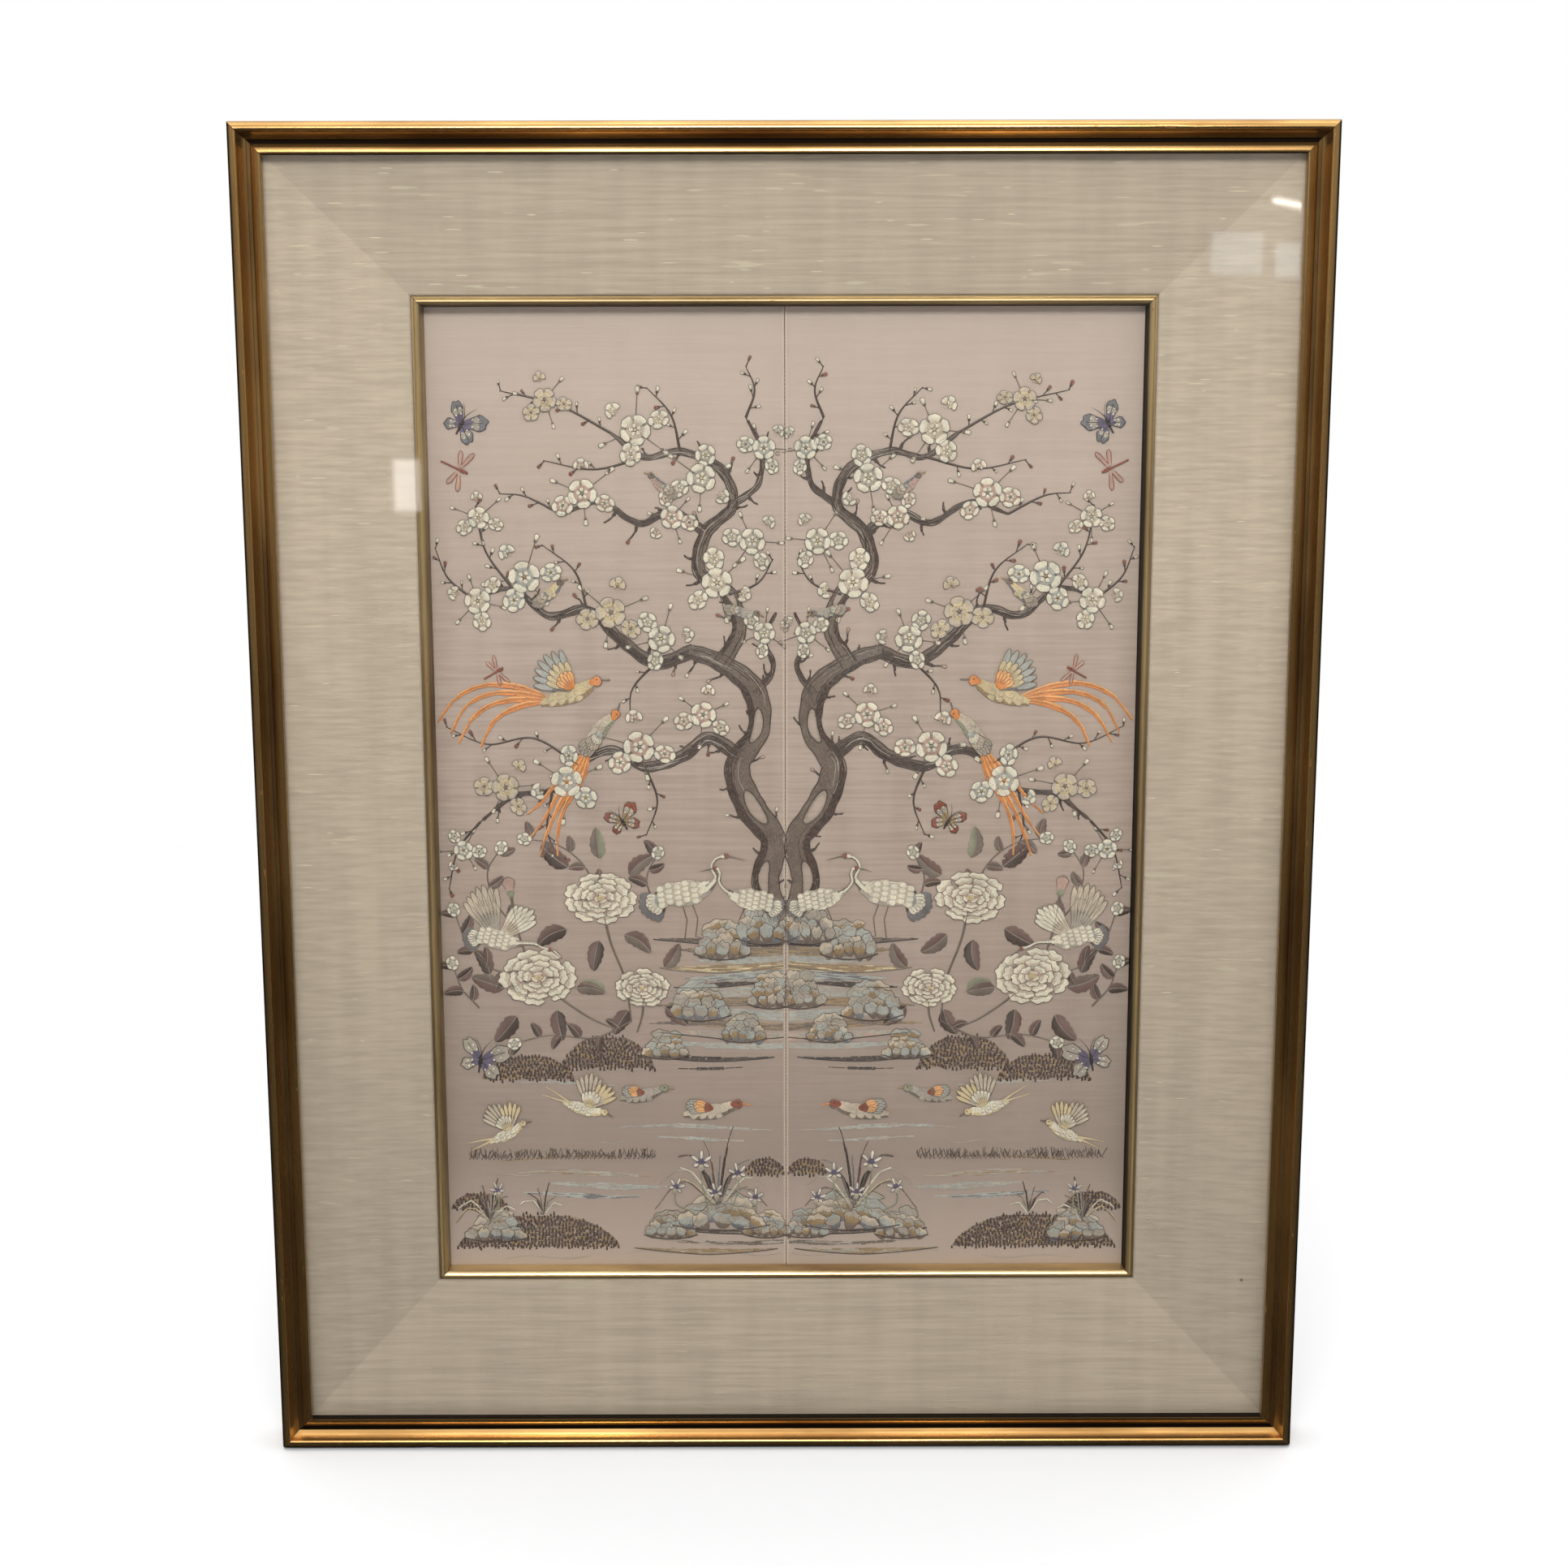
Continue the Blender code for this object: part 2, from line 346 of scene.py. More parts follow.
def curved(value, stops):
    """value led through a smooth curve with stops from (0, ...) to (1, ...)."""
    node = add_node(value.id_data, "FloatCurve", {"Value": value})
    points = node.mapping.curves[0].points
    points[0].location, points[-1].location = stops[0], stops[-1]
    for stop in stops[1:-1]:
        points.new(*stop)
    node.mapping.update()
    return node.outputs[0]


def mix_colour(share, first, second, blend="MIX"):
    """A colour between first and second. Plain colours are given as three values."""
    tree = tree_of(share, first, second)
    colours = [v if isinstance(v, NodeSocket) else opaque(v) for v in (first, second)]
    inputs = {0: share, 6: colours[0], 7: colours[1]}
    return add_node(tree, "Mix", inputs, data_type="RGBA", blend_type=blend).outputs[2]


def opaque(colour):
    """A colour with full alpha."""
    return (*colour[:3], 1.0)


def toned(colour, *factors):
    """A plain colour made lighter or darker by one factor, or by one for each channel."""
    factors = factors * 3 if len(factors) == 1 else factors
    return [min(value * factor, 1) for value, factor in zip(colour, factors)]


GROUPS = {}


def shared_group(name, *outputs, **inputs):
    """Marks a function that fills a shader group, built when a material first asks for it.

    inputs are given with their defaults. One without a default is a vector.
    """

    def keep(fill):
        GROUPS[name] = fill, inputs, outputs
        return fill

    return keep


def build_group(name):
    """The shader group of that name, with its sockets and its nodes."""
    fill, inputs, outputs = GROUPS[name]
    tree = bpy.data.node_groups.new(name, "ShaderNodeTree")
    kinds = {type(None): "Vector", float: "Float", tuple: "Color"}
    for label, value in inputs.items():
        kind, label = f"NodeSocket{kinds[type(value)]}", label.replace("_", " ")
        feed(tree.interface.new_socket(label, in_out="INPUT", socket_type=kind), value)
    for label in outputs:
        kind = "NodeSocketColor" if label == "Colour" else "NodeSocketFloat"
        tree.interface.new_socket(label, in_out="OUTPUT", socket_type=kind)
    fill(tree.nodes.new("NodeGroupInput").outputs, tree.nodes.new("NodeGroupOutput").inputs)
    return tree


def use_group(name, **inputs):
    """A shared group placed in a material, with its own values. One of them is a socket."""
    node = tree_of(*inputs.values()).nodes.new("ShaderNodeGroup")
    node.node_tree = bpy.data.node_groups.get(name) or build_group(name)
    for label, value in inputs.items():
        feed(node.inputs[label.replace("_", " ")], value)
    return node.outputs


@shared_group(
    "Cloth Weave", "Height", "Tone", "Slub",
    Vector=None, Weft_Pitch=0.0008, Warp_Pitch=0.0006, Slub_Share=0.5,
)
def fill_weave(source, target):
    """Irregular weft ribs, finer warp, slub streaks and slow bands of tone."""
    place = source["Vector"]
    waver = clouds(place, 60.0, (6, 1, 1))
    weft = total(maths("DIVIDE", axis(place, "Z"), source["Weft Pitch"]), product(waver, 4.0))
    warp = maths("DIVIDE", axis(place, "X"), source["Warp Pitch"])
    weft, warp = (maths("SINE", product(turns, tau)) for turns in (weft, warp))
    fibre = clouds(place, 900.0, (22, 1, 1), detail=2.0)
    streak = clouds(place, 420.0, (30, 1, 1), detail=4.0, roughness=0.6)
    drift = clouds(place, 60.0, (1, 1, 14), detail=2.0)
    spots = clouds(place, 260.0, (9, 1, 1), detail=1.0)
    least = scaled(source["Slub Share"], -0.16, 0.78)
    slub = remap(maths("SUBTRACT", spots, least), 0.0, 0.05)
    height = total(scaled(weft, 0.22, product(warp, 0.10)), fibre)
    feed(target["Height"], total(height, slub))
    feed(target["Tone"], total(product(streak, 0.7), product(drift, 0.3)))
    feed(target["Slub"], slub)


@shared_group("Age", "Fade", "Stain", Vector=None, Spread=9.0)
def fill_age(source, target):
    """Slow uneven fading and a few small stains."""
    values = {"Vector": source["Vector"], "Scale": source["Spread"], "Detail": 4.0}
    fade = add_node(tree_of(*values.values()), "TexNoise", values).outputs["Fac"]
    stain = clouds(source["Vector"], 38.0, detail=5.0, roughness=0.7)
    feed(target["Fade"], remap(fade, 0.3, 0.7))
    feed(target["Stain"], remap(stain, 0.68, 0.80))


@shared_group("Dust", "Dust", Vector=None, Most=0.75)
def fill_lower_shade(source, target):
    """How dusky the cloth has grown, more and more down the panel."""
    feed(target["Dust"], remap(axis(source["Vector"], "Z"), 0.16, -0.30, 0.0, source["Most"]))


@shared_group(
    "Gilt Wear", "Toned", "Bare", "Brushed", "Grime",
    Grain=None, Crest=0.0, Nick=0.0, Hollow=0.0, Rubbed=0.35,
)
def fill_gilt_wear_and_shade(source, target):
    """Where gilding is toned, rubbed or scratched. Grain runs along the length."""
    slow = clouds(source["Grain"], 30.0, (5, 1, 1), detail=4.0, roughness=0.6)
    fine = clouds(source["Grain"], 700.0, (40, 1, 1), detail=3.0)
    patch = clouds(source["Grain"], 240.0, (4, 1, 1), detail=5.0, roughness=0.7)
    toned_leaf = maths("SUBTRACT", remap(slow, 0.35, 0.7), product(source["Crest"], 0.6))
    rub = scaled(product(source["Crest"], source["Rubbed"]), 0.35, patch)
    chipped = remap(total(source["Nick"], product(patch, 0.5)), 0.85, 1.05)
    # dirt and painted shade: the Hollow level, set side by side, paints the shade in the hollows
    grime = scaled(maths("SUBTRACT", slow, 0.5), 0.5, source["Hollow"])
    grime = product(remap(grime, 0.1, 0.8), source["Hollow"])
    feed(target["Toned"], maths("MAXIMUM", toned_leaf, 0.0))
    feed(target["Bare"], maths("MAXIMUM", remap(rub, 0.74, 0.80), chipped))
    feed(target["Brushed"], fine)
    feed(target["Grime"], maths("MINIMUM", grime, 1.0))


@shared_group(
    "Floss Tone", "Colour", "Height",
    Vector=None, Colour=(0.5, 0.5, 0.5, 1.0), Depth=0.2,
)
def fill_floss(source, target):
    """Small changes of shade from strand to strand and along each motif."""
    strand = clouds(source["Vector"], 1100.0, detail=1.0)
    motif = clouds(source["Vector"], 110.0, detail=2.0)
    level = maths("SUBTRACT", total(product(strand, 0.5), product(motif, 0.5)), 0.5)
    level = total(product(level, product(source["Depth"], 4.0)), 1.0)
    grey = add_node(level.id_data, "CombineXYZ", {0: level, 1: level, 2: level}).outputs[0]
    feed(target["Colour"], mix_colour(1.0, source["Colour"], grey, "MULTIPLY"))
    feed(target["Height"], strand)


def new_material(name, **values):
    """A material's tree and its Principled shader, with plain socket values set."""
    material = bpy.data.materials.new(name)
    material.use_nodes = True
    shader = material.node_tree.nodes["Principled BSDF"]
    for label, value in values.items():
        shader.inputs[label.replace("_", " ")].default_value = value
    return material, material.node_tree, shader


def object_place(tree):
    """Places in the object's own metres."""
    return add_node(tree, "TexCoord").outputs["Object"]


def stored(tree, name):
    """A value or vector kept on the mesh."""
    return add_node(tree, "Attribute", attribute_name=name, attribute_type="GEOMETRY").outputs


def bump(shader, height, distance, strength=1.0):
    """Feeds a height into the shader's normal."""
    inputs = {"Height": height, "Distance": distance, "Strength": strength}
    feed(shader.inputs["Normal"], add_node(shader.id_data, "Bump", inputs).outputs[0])


def gilt_material(name, gold, toned_share, metallic=0.94, rough=0.18):
    """Leaf over bole: metallic, toned brown in patches and rubbed on its crests."""
    own = settings().gilt
    material, tree, shader = new_material(name, Specular_IOR_Level=0.5)
    wear_and_shade = use_group(
        "Gilt Wear", Grain=stored(tree, "grain")["Vector"],
        Crest=stored(tree, "crest")["Fac"], Nick=stored(tree, "nick")["Fac"],
        Hollow=stored(tree, "hollow")["Fac"], Rubbed=own.rubbed,
    )
    colour = mix_colour(product(wear_and_shade["Toned"], toned_share), gold, own.toning)
    colour = mix_colour(wear_and_shade["Bare"], colour, own.bole)
    # dirt and painted shade: near-black in the groove, scoop, lip edge and outer edge
    colour = mix_colour(wear_and_shade["Grime"], colour, own.grime)
    rough = maths("MAXIMUM", scaled(wear_and_shade["Toned"], 0.12, rough), product(wear_and_shade["Grime"], 0.7))
    rough = maths("MAXIMUM", scaled(wear_and_shade["Brushed"], 0.06, rough), product(wear_and_shade["Bare"], 0.6))
    feed(shader.inputs["Base Color"], colour)
    feed(shader.inputs["Metallic"], remap(wear_and_shade["Bare"], 0, 1, metallic, 0.5))
    feed(shader.inputs["Roughness"], rough)
    bump(shader, scaled(wear_and_shade["Bare"], -0.6, wear_and_shade["Brushed"]), 0.00002, 0.5)
    return material


def wood_material():
    """Bare wood with its grain along the length, made the first time it is asked for."""
    known = bpy.data.materials.get("bare_wood")
    if known:
        return known
    wood = settings().gilt.wood
    material, tree, shader = new_material("bare_wood", Roughness=0.75)
    rings = clouds(stored(tree, "grain")["Vector"], 260.0, (30, 1, 1), detail=4.0)
    shade = mix_colour(remap(rings, 0.35, 0.65), wood, toned(wood, 0.55))
    feed(shader.inputs["Base Color"], shade)
    bump(shader, rings, 0.0001)
    return material


GLASS_INDEX = 1.5


def glass_material():
    """Clear thin glass: it lets light straight through and mirrors what is in front."""
    material, tree, shader = new_material("picture_glass")
    tree.nodes.remove(shader)
    clear = add_node(tree, "BsdfTransparent", {"Color": (0.990, 0.994, 0.991, 1)})
    mirror = add_node(tree, "BsdfGlossy", {"Roughness": 0.03, "Color": (1, 1, 1, 1)})
    behind = add_node(tree, "NewGeometry").outputs["Backfacing"]
    index = scaled(behind, 1 / GLASS_INDEX - GLASS_INDEX, GLASS_INDEX)
    edge = add_node(tree, "Fresnel", {"IOR": index})
    layers = {0: edge.outputs[0], 1: clear.outputs[0], 2: mirror.outputs[0]}
    both = add_node(tree, "MixShader", layers)
    feed(tree.nodes["Material Output"].inputs["Surface"], both.outputs[0])
    return material


def shaded_lower(shade, place):
    """shade under the dust that gathers down the panel."""
    # painted shade: dust is how much darker the colour grows down the panel
    dust = use_group("Dust", Vector=place, Most=0.75)["Dust"]
    return mix_colour(dust, shade, (0.72, 0.72, 0.72), "MULTIPLY")


def slub_material():
    """Thick places in the liner's weft, a little paler than the cloth."""
    material, tree, shader = new_material("raw_silk_slub", Roughness=0.85)
    # painted shade down the panel, as on the cloth
    shade = shaded_lower(settings().liner.slub, object_place(tree))
    feed(shader.inputs["Base Color"], shade)
    return material


def liner_material(name, colour):
    """Raw silk: matt, with weft ribs, pale slubs, streaks and one small fleck."""
    material, tree, shader = new_material(
        name, Roughness=0.82, Sheen_Weight=0.25, Sheen_Roughness=0.5
    )
    place = object_place(tree)
    weave = use_group("Cloth Weave", Vector=place, Weft_Pitch=0.0011, Warp_Pitch=0.0008)
    age = use_group("Age", Vector=place, Spread=7.0)
    dark = toned(colour, 0.88)
    shade = mix_colour(remap(weave["Tone"], 0.38, 0.60), dark, toned(colour, 1.11))
    shade = mix_colour(product(weave["Slub"], 0.6), shade, settings().liner.slub)
    shade = mix_colour(product(age["Fade"], 0.20), shade, dark)
    # painted shade: darker down the panel, where less light falls
    shade = shaded_lower(shade, place)
    width = LINER_OUTER.right - LINER_INNER.right
    fleck = (FLECK.x, -liner_surface(width, LINER_OUTER.right - FLECK.x), FLECK.z)
    away = add_node(tree, "VectorMath", {0: place, 1: fleck}, operation="DISTANCE")
    share = remap(away.outputs["Value"], 0.0005, 0.0017, 0.8, 0.0)
    feed(shader.inputs["Base Color"], mix_colour(share, shade, dye("4a3d2c")))
    bump(shader, weave["Height"], 0.00016, 0.45)
    return material


def ground_silk_material():
    """Old satin silk: a soft sheen, faint weft bands and uneven fading."""
    ground = settings().silk.ground
    material, tree, shader = new_material(
        "ground_silk", Specular_IOR_Level=0.45, Sheen_Weight=0.2, Sheen_Roughness=0.4
    )
    place = object_place(tree)
    weave = use_group(
        "Cloth Weave", Vector=place, Weft_Pitch=0.0007, Warp_Pitch=0.0005, Slub_Share=0.0
    )
    age = use_group("Age", Vector=place, Spread=6.0)
    height, aside = axis(place, "Z"), maths("ABSOLUTE", axis(place, "X"))
    deep, painted_light_tone = toned(ground, 0.80, 0.77, 0.75), toned(ground, 1.25)
    shade = mix_colour(remap(weave["Tone"], 0.40, 0.60), deep, toned(ground, 1.16))
    shade = mix_colour(0.32, shade, ground)
    for share, colour in (
        (product(age["Fade"], 0.5), toned(ground, 1.03, 0.95, 0.90)),
        (product(age["Stain"], 0.25), deep),
        # painted light and sheen, partly real fading: paler towards the top
        (remap(height, 0.02, 0.34, 0.0, 0.85), painted_light_tone),
        # painted shade: darker down the lower half
        (remap(height, 0.0, -0.25, 0.0, 0.8), toned(ground, 0.72, 0.68, 0.66)),
        # painted light: paler again near the bottom edge, for light cast up from the fillet
        (remap(height, -0.25, -0.325, 0.0, 0.7), painted_light_tone),
        # painted highlight: paler on the folded edges along the seam
        (remap(aside, 0.0006, 0.0022, 0.7, 0.0), toned(ground, 1.45)),
    ):
        shade = mix_colour(share, shade, colour)
    feed(shader.inputs["Base Color"], shade)
    feed(shader.inputs["Roughness"], remap(weave["Tone"], 0.3, 0.7, 0.58, 0.44))
    bump(shader, weave["Height"], 0.00010, 0.5)
    return material


def floss_material(thread):
    """One shade of floss silk, glossy along its strands, made the first time it is asked for."""
    name = f"floss_{thread}"
    if name in bpy.data.materials:
        return bpy.data.materials[name]
    colour = getattr(settings().stitch.threads, thread)
    material, tree, shader = new_material(
        name, Roughness=0.42, Specular_IOR_Level=0.5, Sheen_Weight=0.25, Sheen_Roughness=0.35
    )
    place, colour = object_place(tree), opaque(colour)
    tone = use_group("Floss Tone", Vector=place, Colour=colour, Depth=0.32)
    feed(shader.inputs["Base Color"], tone["Colour"])
    bump(shader, tone["Height"], 0.00008, 0.5)
    return material


def board_material():
    """Plain brown hardboard, slightly fibrous."""
    material, tree, shader = new_material("hardboard", Roughness=0.7)
    place = object_place(tree)
    fibre = clouds(place, 700.0, (3, 1, 1), detail=4.0)
    age = use_group("Age", Vector=place, Spread=5.0)
    colour = mix_colour(remap(fibre, 0.35, 0.65), dye("6f5238"), dye("8a6a4a"))
    colour = mix_colour(product(age["Fade"], 0.35), colour, dye("5f4630"))
    feed(shader.inputs["Base Color"], colour)
    bump(shader, fibre, 0.0001, 0.5)
    return material


# ---------------------------------------------------------------- mesh building


def scene_object(name, data):
    """A new object in the scene."""
    item = bpy.data.objects.new(name, data)
    bpy.context.scene.collection.objects.link(item)
    return item


def add_piece(name, verts, faces, materials, replaced=(), face_materials=None):
    """A mesh piece that rides on the panel, with its finish and the CAD nodes it stands for."""
    mesh = bpy.data.meshes.new(name)
    mesh.from_pydata([tuple(v) for v in verts], [], faces)
    for material in materials:
        mesh.materials.append(material)
    if face_materials is not None:
        mesh.polygons.foreach_set("material_index", face_materials)
    mesh.shade_smooth()
    mesh.update()
    piece = scene_object(name, mesh)
    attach(piece, "root")
    if replaced:
        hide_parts(*replaced)
    return piece


def store(piece, name, kind, values):
    """Keeps a value or vector for each point of a piece."""
    attribute = piece.data.attributes.new(name, kind, "POINT")
    field = "vector" if kind == "FLOAT_VECTOR" else "value"
    attribute.data.foreach_set(field, np.asarray(values, dtype=np.float32).ravel())


def bow(start, end, rise, steps):
    """Points from start to end along a shallow curve whose middle stands rise to the left."""
    start, end = Vector(start), Vector(end)
    along = end - start
    left = Vector((-along.y, along.x)).normalized()
    shares = [step / steps for step in range(steps + 1)]
    return [start + along * s + left * (4 * rise * s * (1 - s)) for s in shares]


def bell(value, middle, half_width):
    """1 at the middle, falling smoothly away on both sides."""
    return exp(-(((value - middle) / half_width) ** 2))


def side_widths(outer, inner):
    """Plan width of each side of a border, in the order of SIDES."""
    return (
        inner.bottom - outer.bottom, outer.right - inner.right,
        outer.top - inner.top, inner.left - outer.left,
    )


def corner(rect, turn):
    """Where the side with that turn starts."""
    x = rect.left if turn in (0, 3) else rect.right
    z = rect.bottom if turn in (0, 1) else rect.top
    return Vector((x, 0, z))


def side_length(rect, turn):
    """The length of that side."""
    return (corner(rect, (turn + 1) % 4) - corner(rect, turn)).length


def mitred_length(turn, outer, inner, outline, step, trim):
    """Points, faces and grain of a solid length with that section, mitred at both ends.

    The grain is how far along, across and high each point lies.
    """
    widths = side_widths(outer, inner)
    width, before, after = widths[turn], widths[turn - 1], widths[(turn + 1) % 4]
    start, length = corner(outer, turn), side_length(outer, turn)
    stations, columns = max(2, round(length / step)), len(outline)
    places, grain = [], []
    for station in range(stations + 1):
        share = station / stations
        for point in outline:
            first = point.x / width * before + trim
            last = length - point.x / width * after - trim
            along = first + (last - first) * share
            place = start + ALONG[turn] * along + INWARD[turn] * point.x
            places.append(place - Vector((0, point.y, 0)))
            grain.append((along, point.x, point.y))
    end = stations * columns
    faces = lattice_faces(stations + 1, columns, closed=True)
    faces += [tuple(range(columns))[::-1], tuple(range(end, end + columns))]
    return places, faces, grain


def lattice_faces(rows, columns, closed=False, start=0):
    """Quads between rows of points. A closed lattice joins its last column to its first."""
    faces = []
    for row in range(rows - 1):
        here = start + row * columns
        there = here + columns
        for column in range(columns if closed else columns - 1):
            ahead = (column + 1) % columns
            faces.append((here + column, here + ahead, there + ahead, there + column))
    return faces


def rail_outline(width):
    """Section of the moulding. The first part is gilt, and the rest is bare wood."""
    side_top, rim_top = (0, FRAME_DEPTH - RIM_ROUND), (RIM_CREST, FRAME_DEPTH)
    scoop_top, scoop_foot = (RIM_WIDTH, RIM_SHOULDER), (GROOVE_START, GROOVE_HEIGHT + SCOOP_STEP)
    gilt = [
        *bow((0, BACK_EASE), side_top, 0.0, 5),
        *bow(side_top, rim_top, 0.0013, 12)[1:],
        *bow(rim_top, scoop_top, 0.0004, 6)[1:],
        *bow(scoop_top, scoop_foot, -0.0008, 12)[1:],
        Vector((GROOVE_START, GROOVE_HEIGHT)),
        *bow((GROOVE_END, GROOVE_HEIGHT), LIP_CREST, 0.0009, 9),
        *bow(LIP_CREST, (width, LIP_EDGE_HEIGHT), 0.0005, 6)[1:],
        Vector((width, RABBET_CEILING)),
    ]
    bare = ((RABBET_WALL, RABBET_CEILING), (RABBET_WALL, 0), (BACK_EASE, 0))
    return gilt, [Vector(point) for point in bare]


def fillet_outline(width):
    """Section of the fillet: a low step, a bead, and a steep cove down to the silk."""
    crest = (FILLET_CREST, FILLET_CREST_HEIGHT)
    gilt = [
        Vector((0, FILLET_STEP.y)),
        *bow(FILLET_STEP, crest, 0.0005, 8),
        *bow(crest, FILLET_SHOULDER, 0.0004, 8)[1:],
        *bow(FILLET_SHOULDER, (width, FILLET_TOE_HEIGHT), -0.0001, 6)[1:],
        Vector((width, LAYER_FLOOR)),
    ]
    return gilt, [Vector((0, LAYER_FLOOR))]


# along is a share of the side's length, and the rest is in metres.
Nick = namedtuple("Nick", "side along across length breadth depth")
NICKS = (
    Nick("top", 0.155, 0.0052, 0.014, 0.0016, 0.0003),
    Nick("top", 0.130, 0.0040, 0.005, 0.0012, 0.0003),
    Nick("bottom", 0.144, 0.0020, 0.0035, 0.0022, 0.0012),
    Nick("left", 0.088, 0.0036, 0.012, 0.0030, 0.0002),
    Nick("left", 0.560, 0.0180, 0.004, 0.0010, 0.0003),
    Nick("right", 0.300, 0.0024, 0.005, 0.0012, 0.0004),
    Nick("bottom", 0.700, 0.0176, 0.005, 0.0010, 0.0003),
    Nick("right", 0.820, 0.0180, 0.006, 0.0010, 0.0003),
)


def nick_depth(side, length, along, across):
    """How deep a point lies in one of the side's nicks, and how strongly it shows."""
    deepest, shown = 0.0, 0.0
    for nick in NICKS:
        if nick.side == side:
            share = bell(along, nick.along * length, nick.length / 2)
            share *= bell(across, nick.across, nick.breadth / 2)
            deepest, shown = max(deepest, nick.depth * share), max(shown, share)
    return deepest, shown


# Dirt and painted shade gather this far across the section, with a strength on each of SIDES that
# follows how the light falls there.
Hollow = namedtuple("Hollow", "across half_width levels")
CREST_HALF_WIDTH = 0.0011
# painted shade on the outer side wall, with a little dirt
SIDE_WALL_GRIME_AND_SHADE = 0.35


def gilt_border(kind, outer, inner, outline_of, crests, hollows, step, finishes):
    """Four mitred gilt lengths, closed all round, each in place of its CAD node.

    crests are the distances across where the leaf is rubbed. finishes are leaf and bare wood.
    """
    for turn, side in enumerate(SIDES):
        gilt, bare = outline_of(side_widths(outer, inner)[turn])
        outline = gilt + bare
        trim = FIT_GAP / 2 * sqrt(2)
        places, faces, grain = mitred_length(turn, outer, inner, outline, step, trim)
        length = grain[-1][0]
        verts, nicks, crest, hollow = [], [], [], []
        for place, (along, across, height) in zip(places, grain):
            depth, shown = 0, 0
            if kind == "rail" and height > RABBET_CEILING:
                depth, shown = nick_depth(side, length, along, across)
            rubbed = max(bell(across, c, CREST_HALF_WIDTH) for c in crests)
            # dirt and painted shade, its strength on each side set by how the light falls there
            grime_and_shade_level = max(bell(across, h.across, h.half_width) * h.levels[turn] for h in hollows)
            verts.append(place + Vector((0, depth, 0)))
            nicks.append(shown)
            crest.append(rubbed if height > LAYER_FLOOR else 0)
            hollow.append(grime_and_shade_level if across > 0 else SIDE_WALL_GRIME_AND_SHADE)
        finish = [int(index % len(outline) >= len(gilt) - 1) for index in range(len(faces))]
        finish[-2:] = [1, 1]
        node = f"{kind}_{side}"
        piece = add_piece(f"{node}_gilt", verts, faces, finishes, [node], finish)
        piece.data.set_sharp_from_angle(angle=SHARP_ANGLE)
        store(piece, "grain", "FLOAT_VECTOR", grain)
        for name, values in (("crest", crest), ("hollow", hollow), ("nick", nicks)):
            store(piece, name, "FLOAT", values)


def liner_surface(width, across):
    """Height of the liner's cloth at a distance in from the liner's outer edge."""
    fall = (LINER_INNER_HEIGHT - LINER_OUTER_HEIGHT) / (width - LINER_ROLL)
    return LINER_OUTER_HEIGHT + fall * across


def liner_outline(width):
    """The cloth's line over a liner length, round the rolled edge and down beside the fillet."""
    roll_start = (width - LINER_ROLL, LINER_INNER_HEIGHT)
    roll_end = (width, LINER_INNER_HEIGHT - LINER_ROLL)
    return [
        *bow((0, LINER_OUTER_HEIGHT), roll_start, 0, 10)[:-1],
        *bow(roll_start, roll_end, 0.29 * LINER_ROLL, 8),
        *bow(roll_end, (width, LAYER_FLOOR), 0, 3)[1:],
    ]


def ridge_share(places, middle, half_width):
    """1 on a soft ridge's middle line, falling smoothly away on both sides of it."""
    return np.exp(-(((places - middle) / half_width) ** 2))


def smooth_step(distance, reach):
    """0 at distance 0, rising smoothly to 1 at reach."""
    share = np.clip(distance / reach, 0, 1)
    return share * share * (3 - 2 * share)


def silk_front(x, z):
    """How far the front of the silk stands from the back plane at places on it."""
    x, z = np.asarray(x, float), np.asarray(z, float)
    sides = np.stack([x - SIGHT.left, SIGHT.right - x, z - SIGHT.bottom, SIGHT.top - z])
    rise = np.full(x.shape, settings().silk.puff)
    for crease in CREASES:
        across, along = (z, x) if crease.run == "level" else (x, z)
        ends = np.minimum(along - crease.start, crease.end - along)
        height = crease.rise * ridge_share(across, crease.place, crease.half_width)
        rise = rise + height * smooth_step(ends, 3 * crease.half_width)
    return SILK_FRONT + np.maximum(rise, 0) * smooth_step(sides.min(axis=0), SILK_FADE)


# ---------------------------------------------------------------- needlework
# Places in the design are complex numbers: the real part is the distance from the seam, and
# the imaginary part is the height. The left panel repeats the right one in mirror image.

MM = 0.001
LAYER_LIFT = 0.00022  # one motif over another
SINK = 0.00004  # the feet of the stitches lie this far under the silk's face
RAGGED = 0.05  # how unevenly a band of satin ends, as a share of its stitches
SEAM_MARGIN = 0.0008  # no stitch comes nearer to the seam than this
STUB = 0.0004  # a stitch or an end of one this short is left out


def mixed(a, b, share):
    """The place a share of the way from a to b."""
    return a + (b - a) * share


def smooth_path(points, step=0.002):
    """A smooth path through a few places, with a point about every step."""
    ends = [2 * points[0] - points[1], *points, 2 * points[-1] - points[-2]]
    path = []
    for before, a, b, after in zip(ends, ends[1:], ends[2:], ends[3:]):
        count = max(2, round(abs(b - a) / step))
        for index in range(count):
            t = index / count
            pull = (b - before) / 2, (after - a) / 2
            path.append(
                (2 * t**3 - 3 * t**2 + 1) * a + (t**3 - 2 * t**2 + t) * pull[0]
                + (-2 * t**3 + 3 * t**2) * b + (t**3 - t**2) * pull[1]
            )
    return [*path, points[-1]]


GLANCE = 0.0008  # a path's direction is read from this far behind to this far ahead


